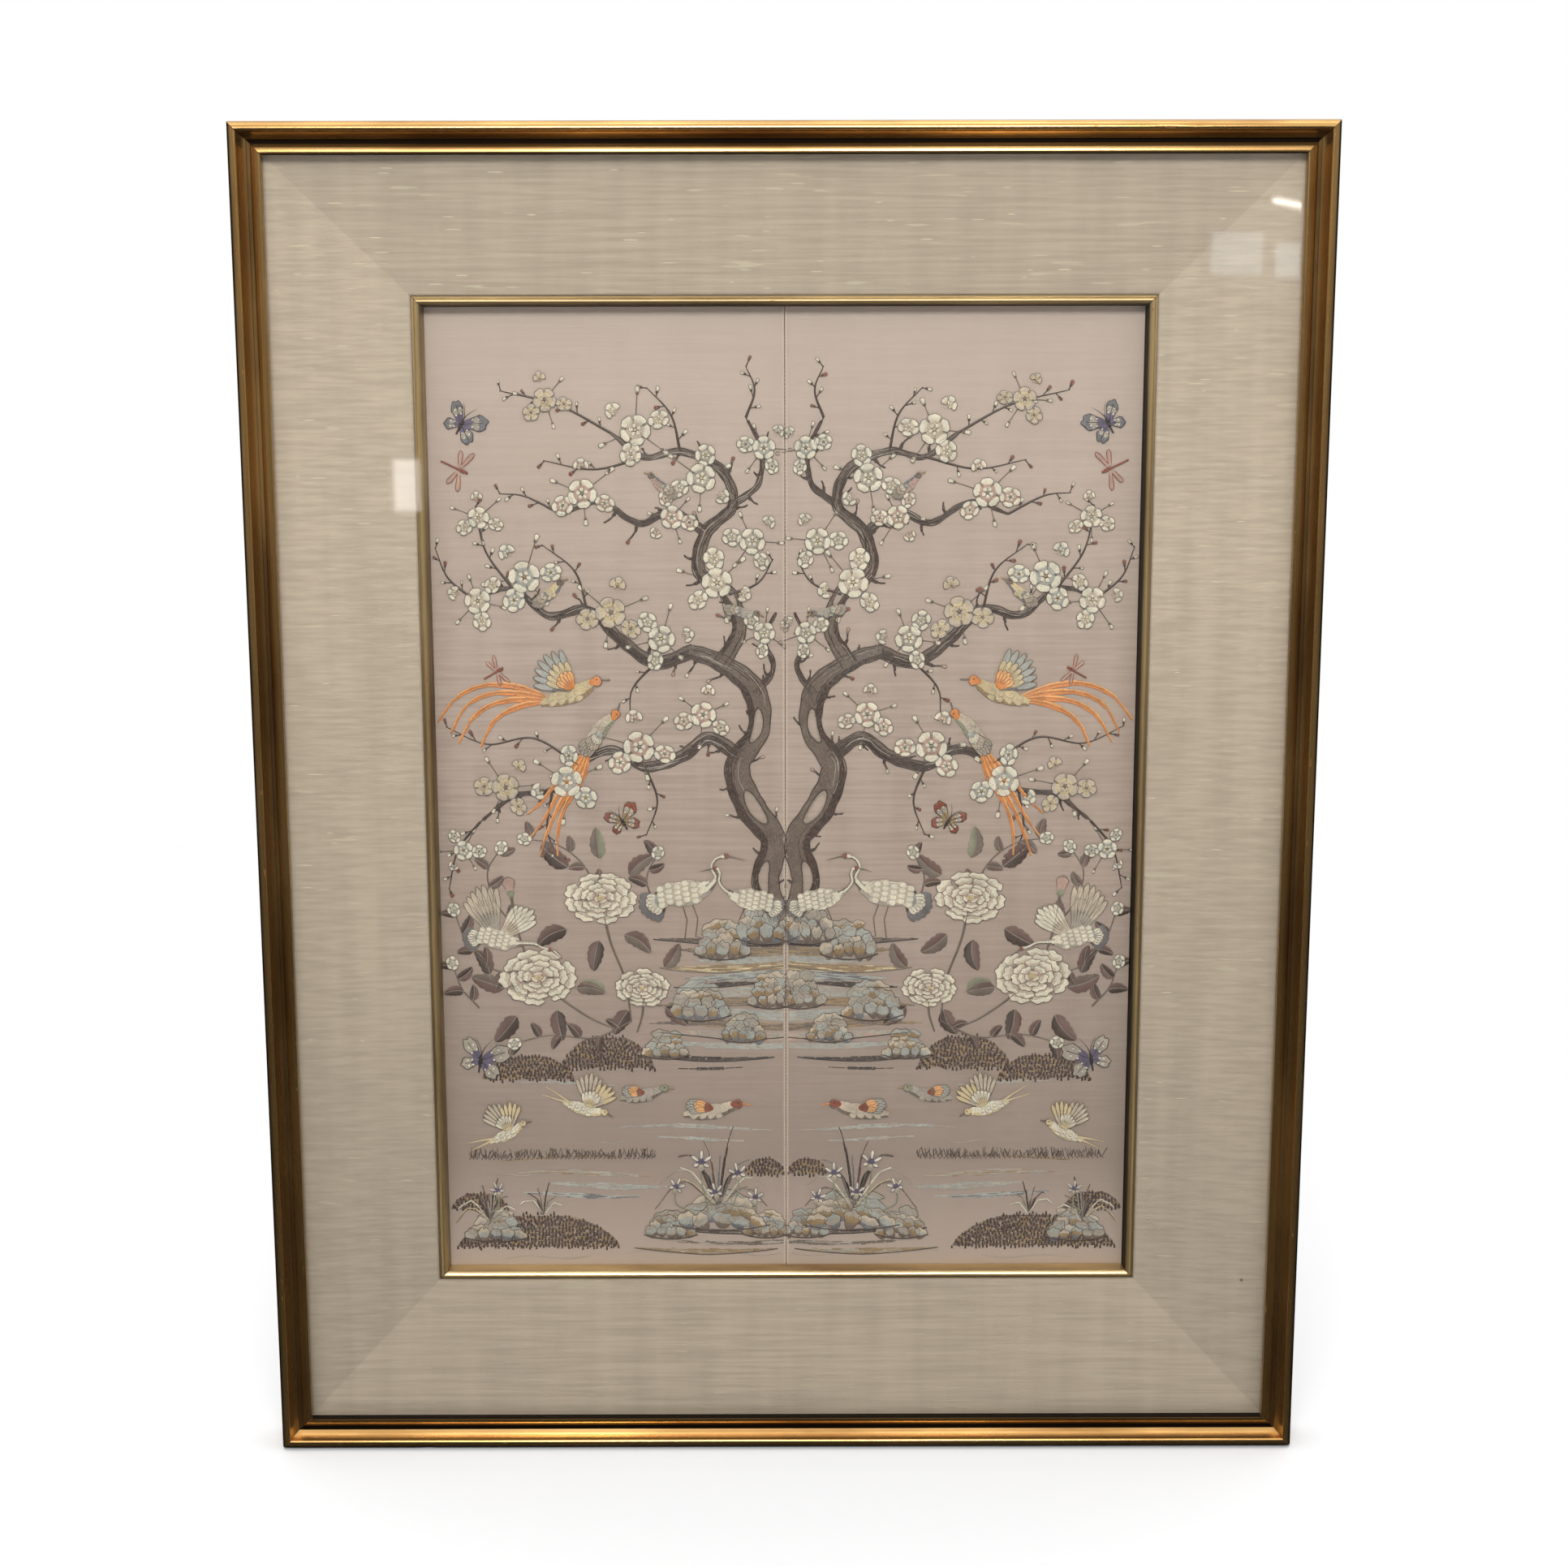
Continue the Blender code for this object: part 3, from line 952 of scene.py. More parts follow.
class Route:
    """A smooth path that can be read at any distance along it, with widths set evenly on it."""

    def __init__(self, points, widths=(0, 0)):
        self.path = smooth_path(points)
        gaps = [abs(b - a) for a, b in zip(self.path, self.path[1:])]
        self.marks = [0.0, *np.cumsum(gaps)]
        self.length = self.marks[-1]
        self.widths = widths
        self.stations = np.linspace(0, self.length, len(widths))

    def at(self, distance):
        """The place at a distance along the path."""
        distance = min(max(distance, 0.0), self.length)
        index = min(int(np.searchsorted(self.marks, distance, "right")) - 1, len(self.path) - 2)
        gap = self.marks[index + 1] - self.marks[index]
        return mixed(self.path[index], self.path[index + 1], (distance - self.marks[index]) / gap)

    def heading(self, distance):
        """The direction of the path there, as a unit."""
        ahead = self.at(distance + GLANCE) - self.at(distance - GLANCE)
        return ahead / abs(ahead)

    def beside(self, distance, offset):
        """The place an offset to the left of the path."""
        return self.at(distance) + 1j * self.heading(distance) * offset

    def half_width(self, distance):
        """Half the width at a distance along the path."""
        return float(np.interp(distance, self.stations, self.widths)) / 2


class Spot:
    """Where a motif lies on the silk: its place, its turn, and how far it leans away."""

    def __init__(self, place, turn=0.0, lean=0.0, flip=False):
        self.place = place
        self.heading = polar(1.0, radians(turn))
        self.squash = cos(radians(lean)) * (-1 if flip else 1)
        self.spin = 1

    def at(self, local):
        """The place on the silk of a place in the motif."""
        local = local * self.spin
        return self.place + self.heading * complex(local.real, local.imag * self.squash)

    def path(self, size, *places):
        """Places on the silk of places in the motif, given as shares of its size."""
        return [self.at(place * size) for place in places]

    def spun(self, turn, start=0):
        """The same leaning motif, turned about its middle or about a place in it."""
        inner = Spot(self.at(start))
        inner.heading, inner.squash = self.heading, self.squash
        inner.spin = self.spin * polar(1, radians(turn))
        return inner


class Needlework:
    """Collects the stitches of one panel's embroidery."""

    def __init__(self, side, seed):
        self.side = side
        self.random = random.Random(seed)
        self.floss = settings().stitch
        self.points, self.faces, self.threads = [], [], []

    def between(self, low, high):
        """A random value between two."""
        return self.random.uniform(low, high)

    def pick(self, choices):
        """One of a few, by chance."""
        return self.random.choice(choices)

    def chance(self, low, high):
        """A random length between two in millimetres."""
        return self.between(low, high) * MM

    def veer(self, side, low, high):
        """A turn to one side by a random angle between two in degrees."""
        return polar(1, side * radians(self.between(low, high)))

    def ridge(self, rows, faces, thread):
        """Adds points given as rows of place and height, and faces between them."""
        start = len(self.points)
        self.points += [(self.side * place.real, place.imag, height) for place, height in rows]
        order = 1 if self.side > 0 else -1
        self.faces += [tuple(start + index for index in face[::order]) for face in faces]
        self.threads += [THREADS.index(thread)] * len(faces)

    def stitch(self, a, b, thread, layer=0.0, width=None, lift=None):
        """One laid strand of floss from a to b, a low ridge with rounded ends."""
        if min(a.real, b.real) < SEAM_MARGIN:
            if max(a.real, b.real) < SEAM_MARGIN + STUB:
                return
            edge = mixed(a, b, (SEAM_MARGIN - a.real) / (b.real - a.real))
            a, b = (edge, b) if a.real < b.real else (a, edge)
        run = b - a
        if abs(run) < STUB / 2:
            return
        half = (width or self.floss.width) / 2
        rise = (lift or self.floss.lift) * self.between(0.85, 1.15)
        side = 1j * run / abs(run) * half
        base = layer * LAYER_LIFT
        near, far = mixed(a, b, 0.12), mixed(a, b, 0.88)
        rows = [
            (a, base),
            (near + side, base), (near, base + rise), (near - side, base),
            (far + side, base), (far, base + rise), (far - side, base),
            (b, base),
        ]
        faces = [(0, 2, 1), (0, 3, 2), (1, 2, 5, 4), (2, 3, 6, 5), (4, 5, 7), (5, 6, 7)]
        self.ridge(rows, faces, thread)

    def cord(self, places, thread, width=None, layer=0.0, lift=None, taper=0.0):
        """A strand that follows a path, such as an outline or a stem."""
        half = (width or self.floss.width) / 2
        rise = lift or self.floss.lift
        base = layer * LAYER_LIFT
        rows, last = [], len(places) - 1
        for index, place in enumerate(places):
            ahead = places[min(index + 1, last)] - places[max(index - 1, 0)]
            share = 1 - taper * index / last
            side = 1j * ahead / max(abs(ahead), 1e-9) * half * share
            rows += [(place + side, base), (place, base + rise * share), (place - side, base)]
        self.ridge(rows, lattice_faces(len(places), 3), thread)

    def knot(self, place, radius, thread, layer=0.0):
        """A small round knot."""
        base = layer * LAYER_LIFT
        rows = [(place, base + radius)]
        for reach, height in ((0.7, 0.75), (1.0, 0.0)):
            rows += [
                (place + polar(radius * reach, tau * k / 6), base + radius * height)
                for k in range(6)
            ]
        faces = [(0, 1 + k, 1 + (k + 1) % 6) for k in range(6)]
        faces += [(1 + k, 7 + k, 7 + (k + 1) % 6, 1 + (k + 1) % 6) for k in range(6)]
        self.ridge(rows, faces, thread)

    def ladder(self, edge_a, edge_b, bands, layer):
        """Satin stitches between two edges. bands are rows of thread, start and end share."""
        for a, b in zip(edge_a, edge_b):
            for thread, start, end in bands:
                first = start - (self.between(0, RAGGED * 2) if start > 0 else 0)
                last = end + (self.between(-RAGGED, RAGGED) if end < 1 else 0)
                self.stitch(mixed(a, b, first), mixed(a, b, last), thread, layer)

    def petal(self, spot, start, length, width, bands, layer=0.0, ruffle=0.0, outline=None):
        """A petal or feather that grows from start along the spot's heading."""
        count = max(3, round(width / self.floss.pitch))
        phase = self.between(0, tau)
        tops, feet = [], []
        for index in range(count):
            q = 2 * (index + 0.5) / count - 1
            half = (1 - abs(q) ** 2.3) ** 0.5 * length / 2
            wave = 1 + ruffle * cos(7 * q + phase)
            middle = start + length / 2
            tops.append(spot.at(complex(middle + half * wave, q * width / 2)))
            feet.append(spot.at(complex(middle - half, q * width * 0.3)))
        self.ladder(feet, tops, bands, layer)
        if outline:
            edge = [feet[0], *tops[:-1:2], tops[-1], feet[-1]]
            self.cord(edge, outline, self.floss.width * 0.6, layer + 0.6, self.floss.lift * 0.7)

    def bough(self, points, widths, threads, layer=0.0, reach=(5, 9), hollows=()):
        """A trunk, stem or body filled with staggered stitches along a path.

        widths are read evenly along the path, and threads are the left edge, middle and
        right edge. reach is how short and long a stitch is, in millimetres. hollows stay
        open: distance along, offset, half length and half width.
        """
        route, pitch = Route(points, widths), self.floss.pitch
        tracks = max(1, round(max(widths) / pitch))
        for track in range(tracks):
            offset = (track - (tracks - 1) / 2) * pitch
            at = -self.between(0, reach[0] * MM)
            while at < route.length:
                run = self.between(reach[0] * MM, reach[1] * MM)
                start, end = max(at, 0.0), min(at + run, route.length)
                at += run * 0.93
                for middle, aside, long, broad in hollows:
                    gap = long * max(1 - ((offset - aside) / broad) ** 2, 0) ** 0.5
                    before, after = middle - gap - start, end - middle - gap
                    if gap > 0 and max(before, after) < end - start:
                        if before > after:
                            end = middle - gap
                        else:
                            start = middle + gap
                half = route.half_width((start + end) / 2)
                if abs(offset) > max(half, pitch * 0.5) or end - start < STUB:
                    continue
                half = max(half, 1e-6)
                zone = 0 if offset / half > 0.45 else 2 if offset / half < -0.45 else 1
                a, b = (
                    route.beside(at_end, offset * min(1.0, route.half_width(at_end) / half))
                    for at_end in (start, end)
                )
                self.stitch(a, b, threads[zone], layer)

    def twig(self, points, thread, width, layer=0.0, taper=0.75):
        """A thin tapering stem."""
        self.cord(smooth_path(points, 0.003), thread, width, layer, width * 0.45, taper)

    def pieces(self, name, materials):
        """Makes the collected stitches into one mesh piece."""
        spots = np.array(self.points)
        front = silk_front(spots[:, 0], spots[:, 1])
        verts = np.column_stack([spots[:, 0], -(front + spots[:, 2] - SINK), spots[:, 1]])
        used = sorted(set(self.threads))
        slots = [materials[THREADS[index]] for index in used]
        places = {index: number for number, index in enumerate(used)}
        finish = [places[index] for index in self.threads]
        return add_piece(name, verts, self.faces, slots, (), finish)


def blossom(work, spot, radius, shades, layer, arc=360):
    """A plum blossom: round petals apart from each other, stamens and a small eye."""
    edge, inner, eye = shades
    petals = 5 if arc == 360 else 3
    lead = work.between(0, 72) if arc == 360 else -arc / 2
    bands = [(inner, 0, 0.48), (edge, 0.44, 1)]
    for index in range(petals):
        turn, odd = lead + arc / petals * (index + 0.5), index % 2
        work.petal(spot.spun(turn), 0.22 * radius, 0.78 * radius, radius, bands,
                   layer + odd * 0.3, ruffle=0.05, outline="slate" if odd else "umber")
    for index in range(petals):
        turn = lead + arc / petals * index
        work.petal(spot.spun(turn), 0.12 * radius, 0.30 * radius, 0.34 * radius, [(edge, 0, 1)],
                   layer + 0.9, outline="ash")
    for index in range(7):
        out = polar(radius * work.between(0.30, 0.48), tau * index / 7)
        work.knot(spot.at(out), 0.00034, "ochre", layer + 1.4)
    work.knot(spot.at(0), radius * 0.11, eye, layer + 1.4)


def bud(work, spot, length, thread, cup="umber", layer=2.0):
    """A closed bud in its cup."""
    work.petal(spot, 0.1 * length, length, 0.78 * length, [(thread, 0, 1)], layer, outline="umber")
    work.petal(spot, -0.15 * length, 0.5 * length, 0.5 * length, [(cup, 0, 1)], layer + 1)


def cluster(work, place, size, turn, shades, layer=3.0):
    """A knot of open, half-open and closed blossoms."""
    for reach, bearing, share, lean, arc in (
        (1.75, 35, 0.62, 30, 210), (1.65, 150, 0.70, 35, 360), (1.55, 275, 0.76, 25, 360),
        (0, 0, 1, 10, 360),
    ):
        at = place + polar(reach * size, radians(turn + bearing))
        flower = Spot(at, turn + bearing, lean)
        blossom(work, flower, size * share, shades, layer + share, arc)
    for bearing in (88, 210, 330):
        out = polar(size * work.between(1.6, 2.3), radians(turn + bearing))
        work.twig([place, place + out * 0.5, place + out], "umber", 0.0008, layer - 1.2, 0.3)
        bud(work, Spot(place + out, turn + bearing), size * 0.46, "cream", "umber", layer - 0.6)


VEIN_GAP = 0.00018  # the halves of a leaf keep this far from its middle line


def leaf(work, spot, length, width, threads, bend=0.0, layer=1.0):
    """A leaf in two halves of slanting satin with a vein between them."""
    light, dark, vein = threads
    count = max(4, round(length / work.floss.pitch))

    def rib(t):
        return complex(length * t, bend * length * 4 * t * (1 - t))

    for half, thread in ((1, light), (-1, dark)):
        inner, outer = [], []
        for index in range(count):
            t = (index + 0.5) / count
            far = t + 0.14 * (1 - t)
            swell = sin(pi * far**0.8) ** 0.6 if far < 1 else 0
            tooth = 1 + 0.07 * sin(far * 30)
            inner.append(spot.at(rib(t) + 1j * half * VEIN_GAP))
            outer.append(spot.at(rib(far) + 1j * half * (width / 2 * swell * tooth + 0.0002)))
        work.ladder(inner, outer, [(thread, 0, 1)], layer)
    ribs = [spot.at(rib(k / 8)) for k in range(-1, 9)]
    work.cord(ribs, vein, 0.00034, layer + 1, 0.0002, 0.5)


def turned(direction):
    """The angle of a direction in degrees."""
    return degrees(atan2(direction.imag, direction.real))


def sprig(work, points, count, layer=1.5):
    """A thin branch with stalked buds on both sides."""
    work.twig(points, "bark", 0.0019, layer, 0.7)
    route = Route(points)
    for index in range(count):
        at = route.length * (index + 0.9) / count
        out = route.heading(at) * work.veer((-1) ** index, 30, 65)
        root = route.at(at)
        tip = root + out * work.between(2.0, 5.0) * MM
        work.cord([root, mixed(root, tip, 0.5), tip], "bark", 0.0007, layer)
        size = work.between(0.75, 1.2) * 3.4 * MM
        bud(work, Spot(tip, turned(out)), size, work.pick(("cream", "cream", "rust")),
            "bark")


def spray(work, points, leaves, length, shades, layer=1.5):
    """A leafy stem with a small round flower at its end."""
    work.twig(points, "umber", 0.0014, layer, 0.5)
    route = Route(points)
    for index in range(leaves):
        at = route.length * (index + 0.7) / leaves
        out = route.heading(at) * work.veer((-1) ** index, 40, 75)
        size = length * work.between(0.8, 1.15) * MM
        leaf(work, Spot(route.at(at), turned(out)), size, size * 0.52, shades, 0.08, layer + 0.5)
    flower = Spot(points[-1], turned(route.heading(route.length)), 30)
    blossom(work, flower, 5.2 * MM, ("cream", "mist", "straw"), layer + 2)


# Starts, lengths and widths are shares of the flower's radius.
Ring = namedtuple("Ring", "count start length width deep outline")
PEONY_RINGS = (
    Ring(9, 0.56, 0.44, 0.64, "ash", "mauve"), Ring(8, 0.38, 0.40, 0.58, "rose", "umber"),
    Ring(7, 0.22, 0.36, 0.48, "ash", "mauve"), Ring(5, 0.08, 0.32, 0.40, "rose", "umber"),
    Ring(3, 0.00, 0.20, 0.28, "straw", "mauve"),
)


def peony(work, spot, radius, layer=3.0):
    """A full peony: rings of ruffled petals with pale edges, the inner over the outer."""
    for level, ring in enumerate(PEONY_RINGS):
        lead = work.between(0, 360)
        bands = [(ring.deep, 0, 0.42), ("ivory", 0.36, 0.68), ("cream", 0.62, 1)]
        for index in range(ring.count):
            turn = lead + 360 / ring.count * index + work.between(-7, 7)
            length = ring.length * radius * work.between(0.90, 1.08)
            work.petal(spot.spun(turn), ring.start * radius, length, ring.width * radius, bands,
                       layer + level * 0.8 + (index % 2) * 0.4, 0.13, ring.outline)
    for index in range(6):
        out = polar(radius * work.between(0.02, 0.09), tau * index / 6)
        work.knot(spot.at(out), radius * 0.026, "straw", layer + 5)


Wing = namedtuple("Wing", "turn length width")
WINGS = (
    Wing(62, 1.0, 0.66), Wing(126, 0.74, 0.56), Wing(-44, 0.84, 0.52), Wing(-112, 0.62, 0.46),
)


def butterfly(work, spot, span, shades, layer=3.0):
    """A butterfly with its wings open, seen a little from one side."""
    body, inner, outer, dot = shades
    bands = [(inner, 0, 0.45), ("ash", 0.4, 0.72), (outer, 0.68, 1)]
    for wing in WINGS:
        pane, length, width = spot.spun(wing.turn), wing.length * span, wing.width * span
        work.petal(pane, 0.06 * span, length, width, bands, layer, 0.12, "ink")
        for share in (0.45, 0.70):
            for q in (-0.2, 0.2):
                work.knot(pane.at(complex(length * share, q * width)), span * 0.04, dot, layer + 1)
        work.cord(pane.path(length, 0.1, 0.5, 0.9), "ink", 0.0005, layer + 0.8)
    trunk = spot.path(span, -0.42, -0.1, 0.24)
    work.bough(trunk, (0.0006, 0.0024, 0.0014), (body,) * 3, layer + 2, (2, 3))
    for side in (-1, 1):
        feeler = spot.path(span, 0.24, 0.5 + 0.10j * side, 0.78 + 0.30j * side)
        work.twig(feeler, body, 0.0005, layer + 1)


def dragonfly(work, spot, length, layer=3.0):
    """A small dragonfly with four narrow wings."""
    for turn, reach in ((72, 0.66), (108, 0.56), (-72, 0.66), (-108, 0.56)):
        work.petal(spot.spun(turn), 0.04 * length, reach * length, 0.17 * length,
                   [("rose", 0, 1)], layer, outline="rust")
    trunk = spot.path(length, -0.62, -0.2, 0.2)
    work.bough(trunk, (0.0008, 0.0012, 0.0022), ("rust",) * 3, layer + 1, (2, 3))
    work.knot(spot.at(0.24 * length), 0.0011, "rust", layer + 1)


def wing_fan(work, spot, length, rows, layer):
    """Rows of feathers fanned from a shoulder. rows are turn, spread, count, reach and threads."""
    for level, (turn, spread, count, reach, inner, outer) in enumerate(rows):
        for index in range(count):
            share = index / max(count - 1, 1)
            feather = spot.spun(turn + spread * (share - 0.5))
            size = length * reach * (1 - 0.25 * abs(share - 0.4))
            bands = [(inner, 0, 0.55), (outer, 0.48, 1)]
            work.petal(feather, 0.05 * length, size, length * 0.15, bands, layer + level * 0.8,
                       outline="umber")


def trail(work, spot, length, routes, width, layer):
    """Long tail feathers that taper to a hair, each with a lighter edge."""
    widths = [width * share for share in (0.5, 1.0, 0.85, 0.6, 0.25)]
    for route in routes:
        points = spot.path(length, *route)
        work.bough(points, widths, ("amber", "orange", "orange"), layer, (7, 12))
        work.cord(smooth_path(points, 0.004), "ochre", 0.00036, layer + 1, 0.0002, 0.6)


def bird(work, spot, length, shades, wing_rows, layer=4.0):
    """A small bird along its spot's heading: body, head and wing."""
    back, breast, cap, beak = shades
    body = spot.path(length, -0.60-0.05j, -0.2-0.02j, 0.15+0.02j, 0.44+0.12j)
    widths = [share * length for share in (0.10, 0.30, 0.33, 0.20)]
    work.bough(body, widths, (back, breast, breast), layer, (2.0, 3.4))
    for x in (-0.30, -0.12, 0.06, 0.22):
        for y in (-0.10, 0.0):
            scale = spot.spun(188, complex(x, y + 0.02) * length)
            work.petal(scale, 0, 0.15 * length, 0.13 * length, [(breast, 0, 1)], layer + 0.6,
                       outline="ash")
    head = spot.spun(0, complex(0.50, 0.15) * length)
    work.petal(head, -0.12 * length, 0.25 * length, 0.22 * length, [(cap, 0, 1)], layer + 1,
               outline="umber")
    bill = spot.path(length, 0.60+0.16j, 0.80+0.12j)
    work.stitch(*bill, beak, layer + 1, 0.0011)
    work.knot(spot.at(complex(0.54, 0.18) * length), 0.0005, "ink", layer + 2.5)
    shoulder = spot.spun(0, complex(0.08, 0.06) * length)
    wing_fan(work, shoulder, length, wing_rows, layer + 1.5)


WADER_WING = ((202, 74, 7, 0.44, "bark", "slate"), (196, 60, 6, 0.32, "mist", "cream"))


def wader(work, spot, size, neck, legs=True, layer=3.5):
    """A white wading bird: scaled body, dark plumes, bent neck, thin bill and legs."""
    reach = (2.4, 4)
    shoulder = spot.spun(0, complex(-0.30, -0.02) * size)
    wing_fan(work, shoulder, size, WADER_WING, layer - 1)
    body = spot.path(size, -0.44-0.04j, -0.15+0.02j, 0.2+0.03j, 0.46+0.10j)
    widths = [share * size for share in (0.16, 0.42, 0.40, 0.16)]
    work.bough(body, widths, ("ash", "cream", "cream"), layer, reach)
    for row, x in enumerate((0.28, 0.14, 0.0, -0.14, -0.28)):
        for y in (-0.15, -0.05, 0.05, 0.15):
            scale = spot.spun(184 + 60 * y, complex(x, y + 0.03 + row % 2 * 0.04) * size)
            bands = [("ivory", 0, 0.4), ("cream", 0.3, 1)]
            work.petal(scale, 0, 0.17 * size, 0.13 * size, bands, layer + 0.6 + 0.1 * row,
                       outline="ash")
    widths = [share * size for share in (0.15, 0.09, 0.06, 0.055, 0.05)]
    throat = spot.path(size, 0.40+0.06j, *neck)
    work.bough(throat, widths, ("umber", "cream", "ash"), layer + 1, reach)
    head = spot.spun(0, neck[-1] * size)
    work.petal(head, -0.06 * size, 0.14 * size, 0.10 * size,
               [("cream", 0, 0.5), ("rust", 0.4, 1)], layer + 2, outline="umber")
    bill = spot.path(size, neck[-1] + 0.06, neck[-1] + (0.34-0.12j))
    work.twig([bill[0], mixed(*bill, 0.5), bill[1]], "umber", 0.0010, layer + 2)
    for x, knee, foot in ((-0.06, -0.02, -0.10), (0.10, 0.16, 0.08)) if legs else ():
        leg = spot.path(size, x-0.14j, knee-0.42j, foot-0.72j, foot + (0.10-0.76j))
        work.cord(leg, "umber", 0.0008, layer - 1.5)


def crag(work, place, width, height, deep, layer=1.0):
    """A garden rock built of overlapping rounded lobes with pale crests and dark outlines."""
    choices = (deep, "umber"), ("mist", "ash", "ochre"), ("ash", "mist", "ivory")
    for row in range(4):
        share = row / 3
        span = width * (0.45 + 0.55 * share)
        count = 2 + row
        for index in range(count):
            u = span * ((index + 0.5) / count - 0.5) + work.chance(-1, 1)
            level = height * (0.52 - 0.62 * share - 0.10 * abs(u) / width) + work.chance(-1, 1)
            lean = 90 + work.between(-22, 22) - 60 * u / width
            reach = height * work.between(0.36, 0.60)
            low, middle, top = (work.pick(choice) for choice in choices)
            bands = [(low, 0, 0.4), (middle, 0.34, 0.76), (top, 0.7, 1)]
            broad = width / (count + 1.2) * work.between(1.3, 1.9)
            work.petal(Spot(place + complex(u, level), lean), -reach * 0.4, reach, broad, bands,
                       layer + share * 2, 0.12, work.pick(("bark", "umber")))
    foot = [
        place + complex(u * width, -height * (0.30 - 0.5 * u * u))
        for u in (-0.56, -0.3, 0, 0.3, 0.56)
    ]
    work.cord(smooth_path(foot, 0.003), "bark", 0.0009, layer + 3)


SEAM_GAP = 0.0012  # banks end this far from the seam
RIM_GAP = 0.0014  # and the cords on their rims this far
BANK_WAVE = 0.0018  # how far the banks rise and fall


def bank(work, thread, second, level, half, start, end, layer=0.5, edge=None):
    """A bank of earth or water in long level stitches, with pointed ends."""
    lines = max(2, round(2 * half / work.floss.pitch))
    middle, reach = (start + end) / 2, (end - start) / 2

    def wave(u):
        return BANK_WAVE * sin(38 * u + level * 90)

    for line in range(lines):
        q = 2 * (line + 0.5) / lines - 1
        z = level + q * half
        extent = reach * (1 - abs(q) ** 1.4)
        left = max(middle - extent, SEAM_GAP) if start > 0 else SEAM_GAP
        at = left - work.chance(0, 6)
        while at < middle + extent:
            run = work.chance(6, 13)
            a, b = max(at, left), min(at + run, middle + extent)
            at += run
            if b - a > 0.001:
                shade = second if work.random.random() < 0.35 else thread
                work.stitch(complex(a, z + wave(a)), complex(b, z + wave(b)), shade, layer)
    if edge:
        rim = [
            complex(u, level + wave(u) - half * max(1 - abs((u - middle) / reach), 0) ** 0.7)
            for u in np.linspace(max(start, RIM_GAP), end, 14)[:-1]
        ]
        work.cord([*rim, complex(end, level + wave(end))], edge, 0.0008, layer + 1)


def moss_mound(work, start, end, foot, height, layer=1.2):
    """A low mound of short upright strokes, row over row, on thin level stitches."""
    middle, reach = (start + end) / 2, (end - start) / 2

    def dome(u):
        fall = max(1 - abs((u - middle) / reach) ** 2.2, 0) ** 0.7
        return height * fall * (1 + 0.06 * sin(u * 620))

    level = 0.6 * MM
    while level < height * 0.94:
        wide = reach * max(1 - (level / height) ** 1.43, 0) ** 0.4545
        u = middle - wide
        while u < middle + wide - 1 * MM:
            run = work.chance(4, 8)
            ends = complex(u, foot + level), complex(min(u + run, middle + wide), foot + level)
            thread = work.pick(("umber", "ochre", "mauve"))
            work.stitch(*ends, thread, layer - 0.6, 0.0010, 0.00016)
            u += run + work.chance(0, 1)
        level += 1.1 * MM
    step = 2.7 * MM
    for row in range(round(height / step) + 1):
        u = start + (row % 2) * 1.4 * MM
        while u < end:
            top = dome(u) - row * step + work.chance(-0.7, 0.7)
            run = work.chance(2.2, 3.4)
            for aside in (-0.26, 0.26) if top > 0.2 * MM else ():
                low = complex(u + aside * 1.6 * MM, foot + top - run)
                work.stitch(low, complex(u + aside * 0.4 * MM, foot + top), "bark", layer)
            u += work.chance(2.0, 2.9)


def grass(work, start, end, foot, layer=1.0):
    """A strip of low grass tufts over a thin line of earth."""
    bank(work, "ochre", "umber", foot - 0.6 * MM, 0.6 * MM, start, end, layer - 0.6)
    u = start + 2 * MM
    while u < end - 2 * MM:
        for blade in range(work.random.randint(3, 5)):
            root = complex(u + work.chance(-0.8, 0.8), foot)
            reach = work.chance(2.5, 8.5)
            tip = root + polar(reach, radians(90 + work.between(-34, 34)))
            work.stitch(root, tip, "bark" if blade % 2 else "umber", layer, 0.0006)
        work.knot(complex(u + 0.0012, foot - 0.0004), 0.0005, "bark", layer)
        u += work.chance(2.2, 3.8)


def blades(work, root, rows, layer=2.0):
    """Long arching leaves from one root. rows are turn, reach, droop, width and threads."""
    for turn, reach, droop, width, thread, tip in rows:
        out = polar(reach, radians(turn)) * MM
        knee = root + out * 0.55 + 1j * reach * 0.14 * MM
        end = root + out - 1j * droop * MM
        wide = [width * share * MM for share in (0.8, 1.0, 0.7, 0.2)]
        work.bough([root, knee, end], wide, (tip, thread, thread), layer, (6, 10))


def orchid(work, spot, size, layer=4.0):
    """A small orchid: narrow spread petals round a spotted lip."""
    for turn, reach in ((90, 1.0), (38, 0.9), (142, 0.9), (-20, 0.6), (200, 0.6)):
        work.petal(spot.spun(turn), 0, size * reach, size * 0.30,
                   [("plum", 0, 0.4), ("cream", 0.32, 1)], layer, outline="plum")
    work.petal(spot.spun(-90), 0, size * 0.6, size * 0.42,
               [("straw", 0, 0.4), ("ash", 0.32, 1)], layer + 0.8)
    work.knot(spot.at(0), size * 0.09, "plum", layer + 1.6)


# ---------------------------------------------------------------- design
# The tables are in millimetres from the seam and from the panel's middle height.


def spots(*places):
    """Places in metres from places in millimetres."""
    return [place * MM for place in places]


def spot(place, turn=0.0, lean=0.0, flip=False):
    """A motif's place from one in millimetres."""
    return Spot(place * MM, turn, lean, flip)


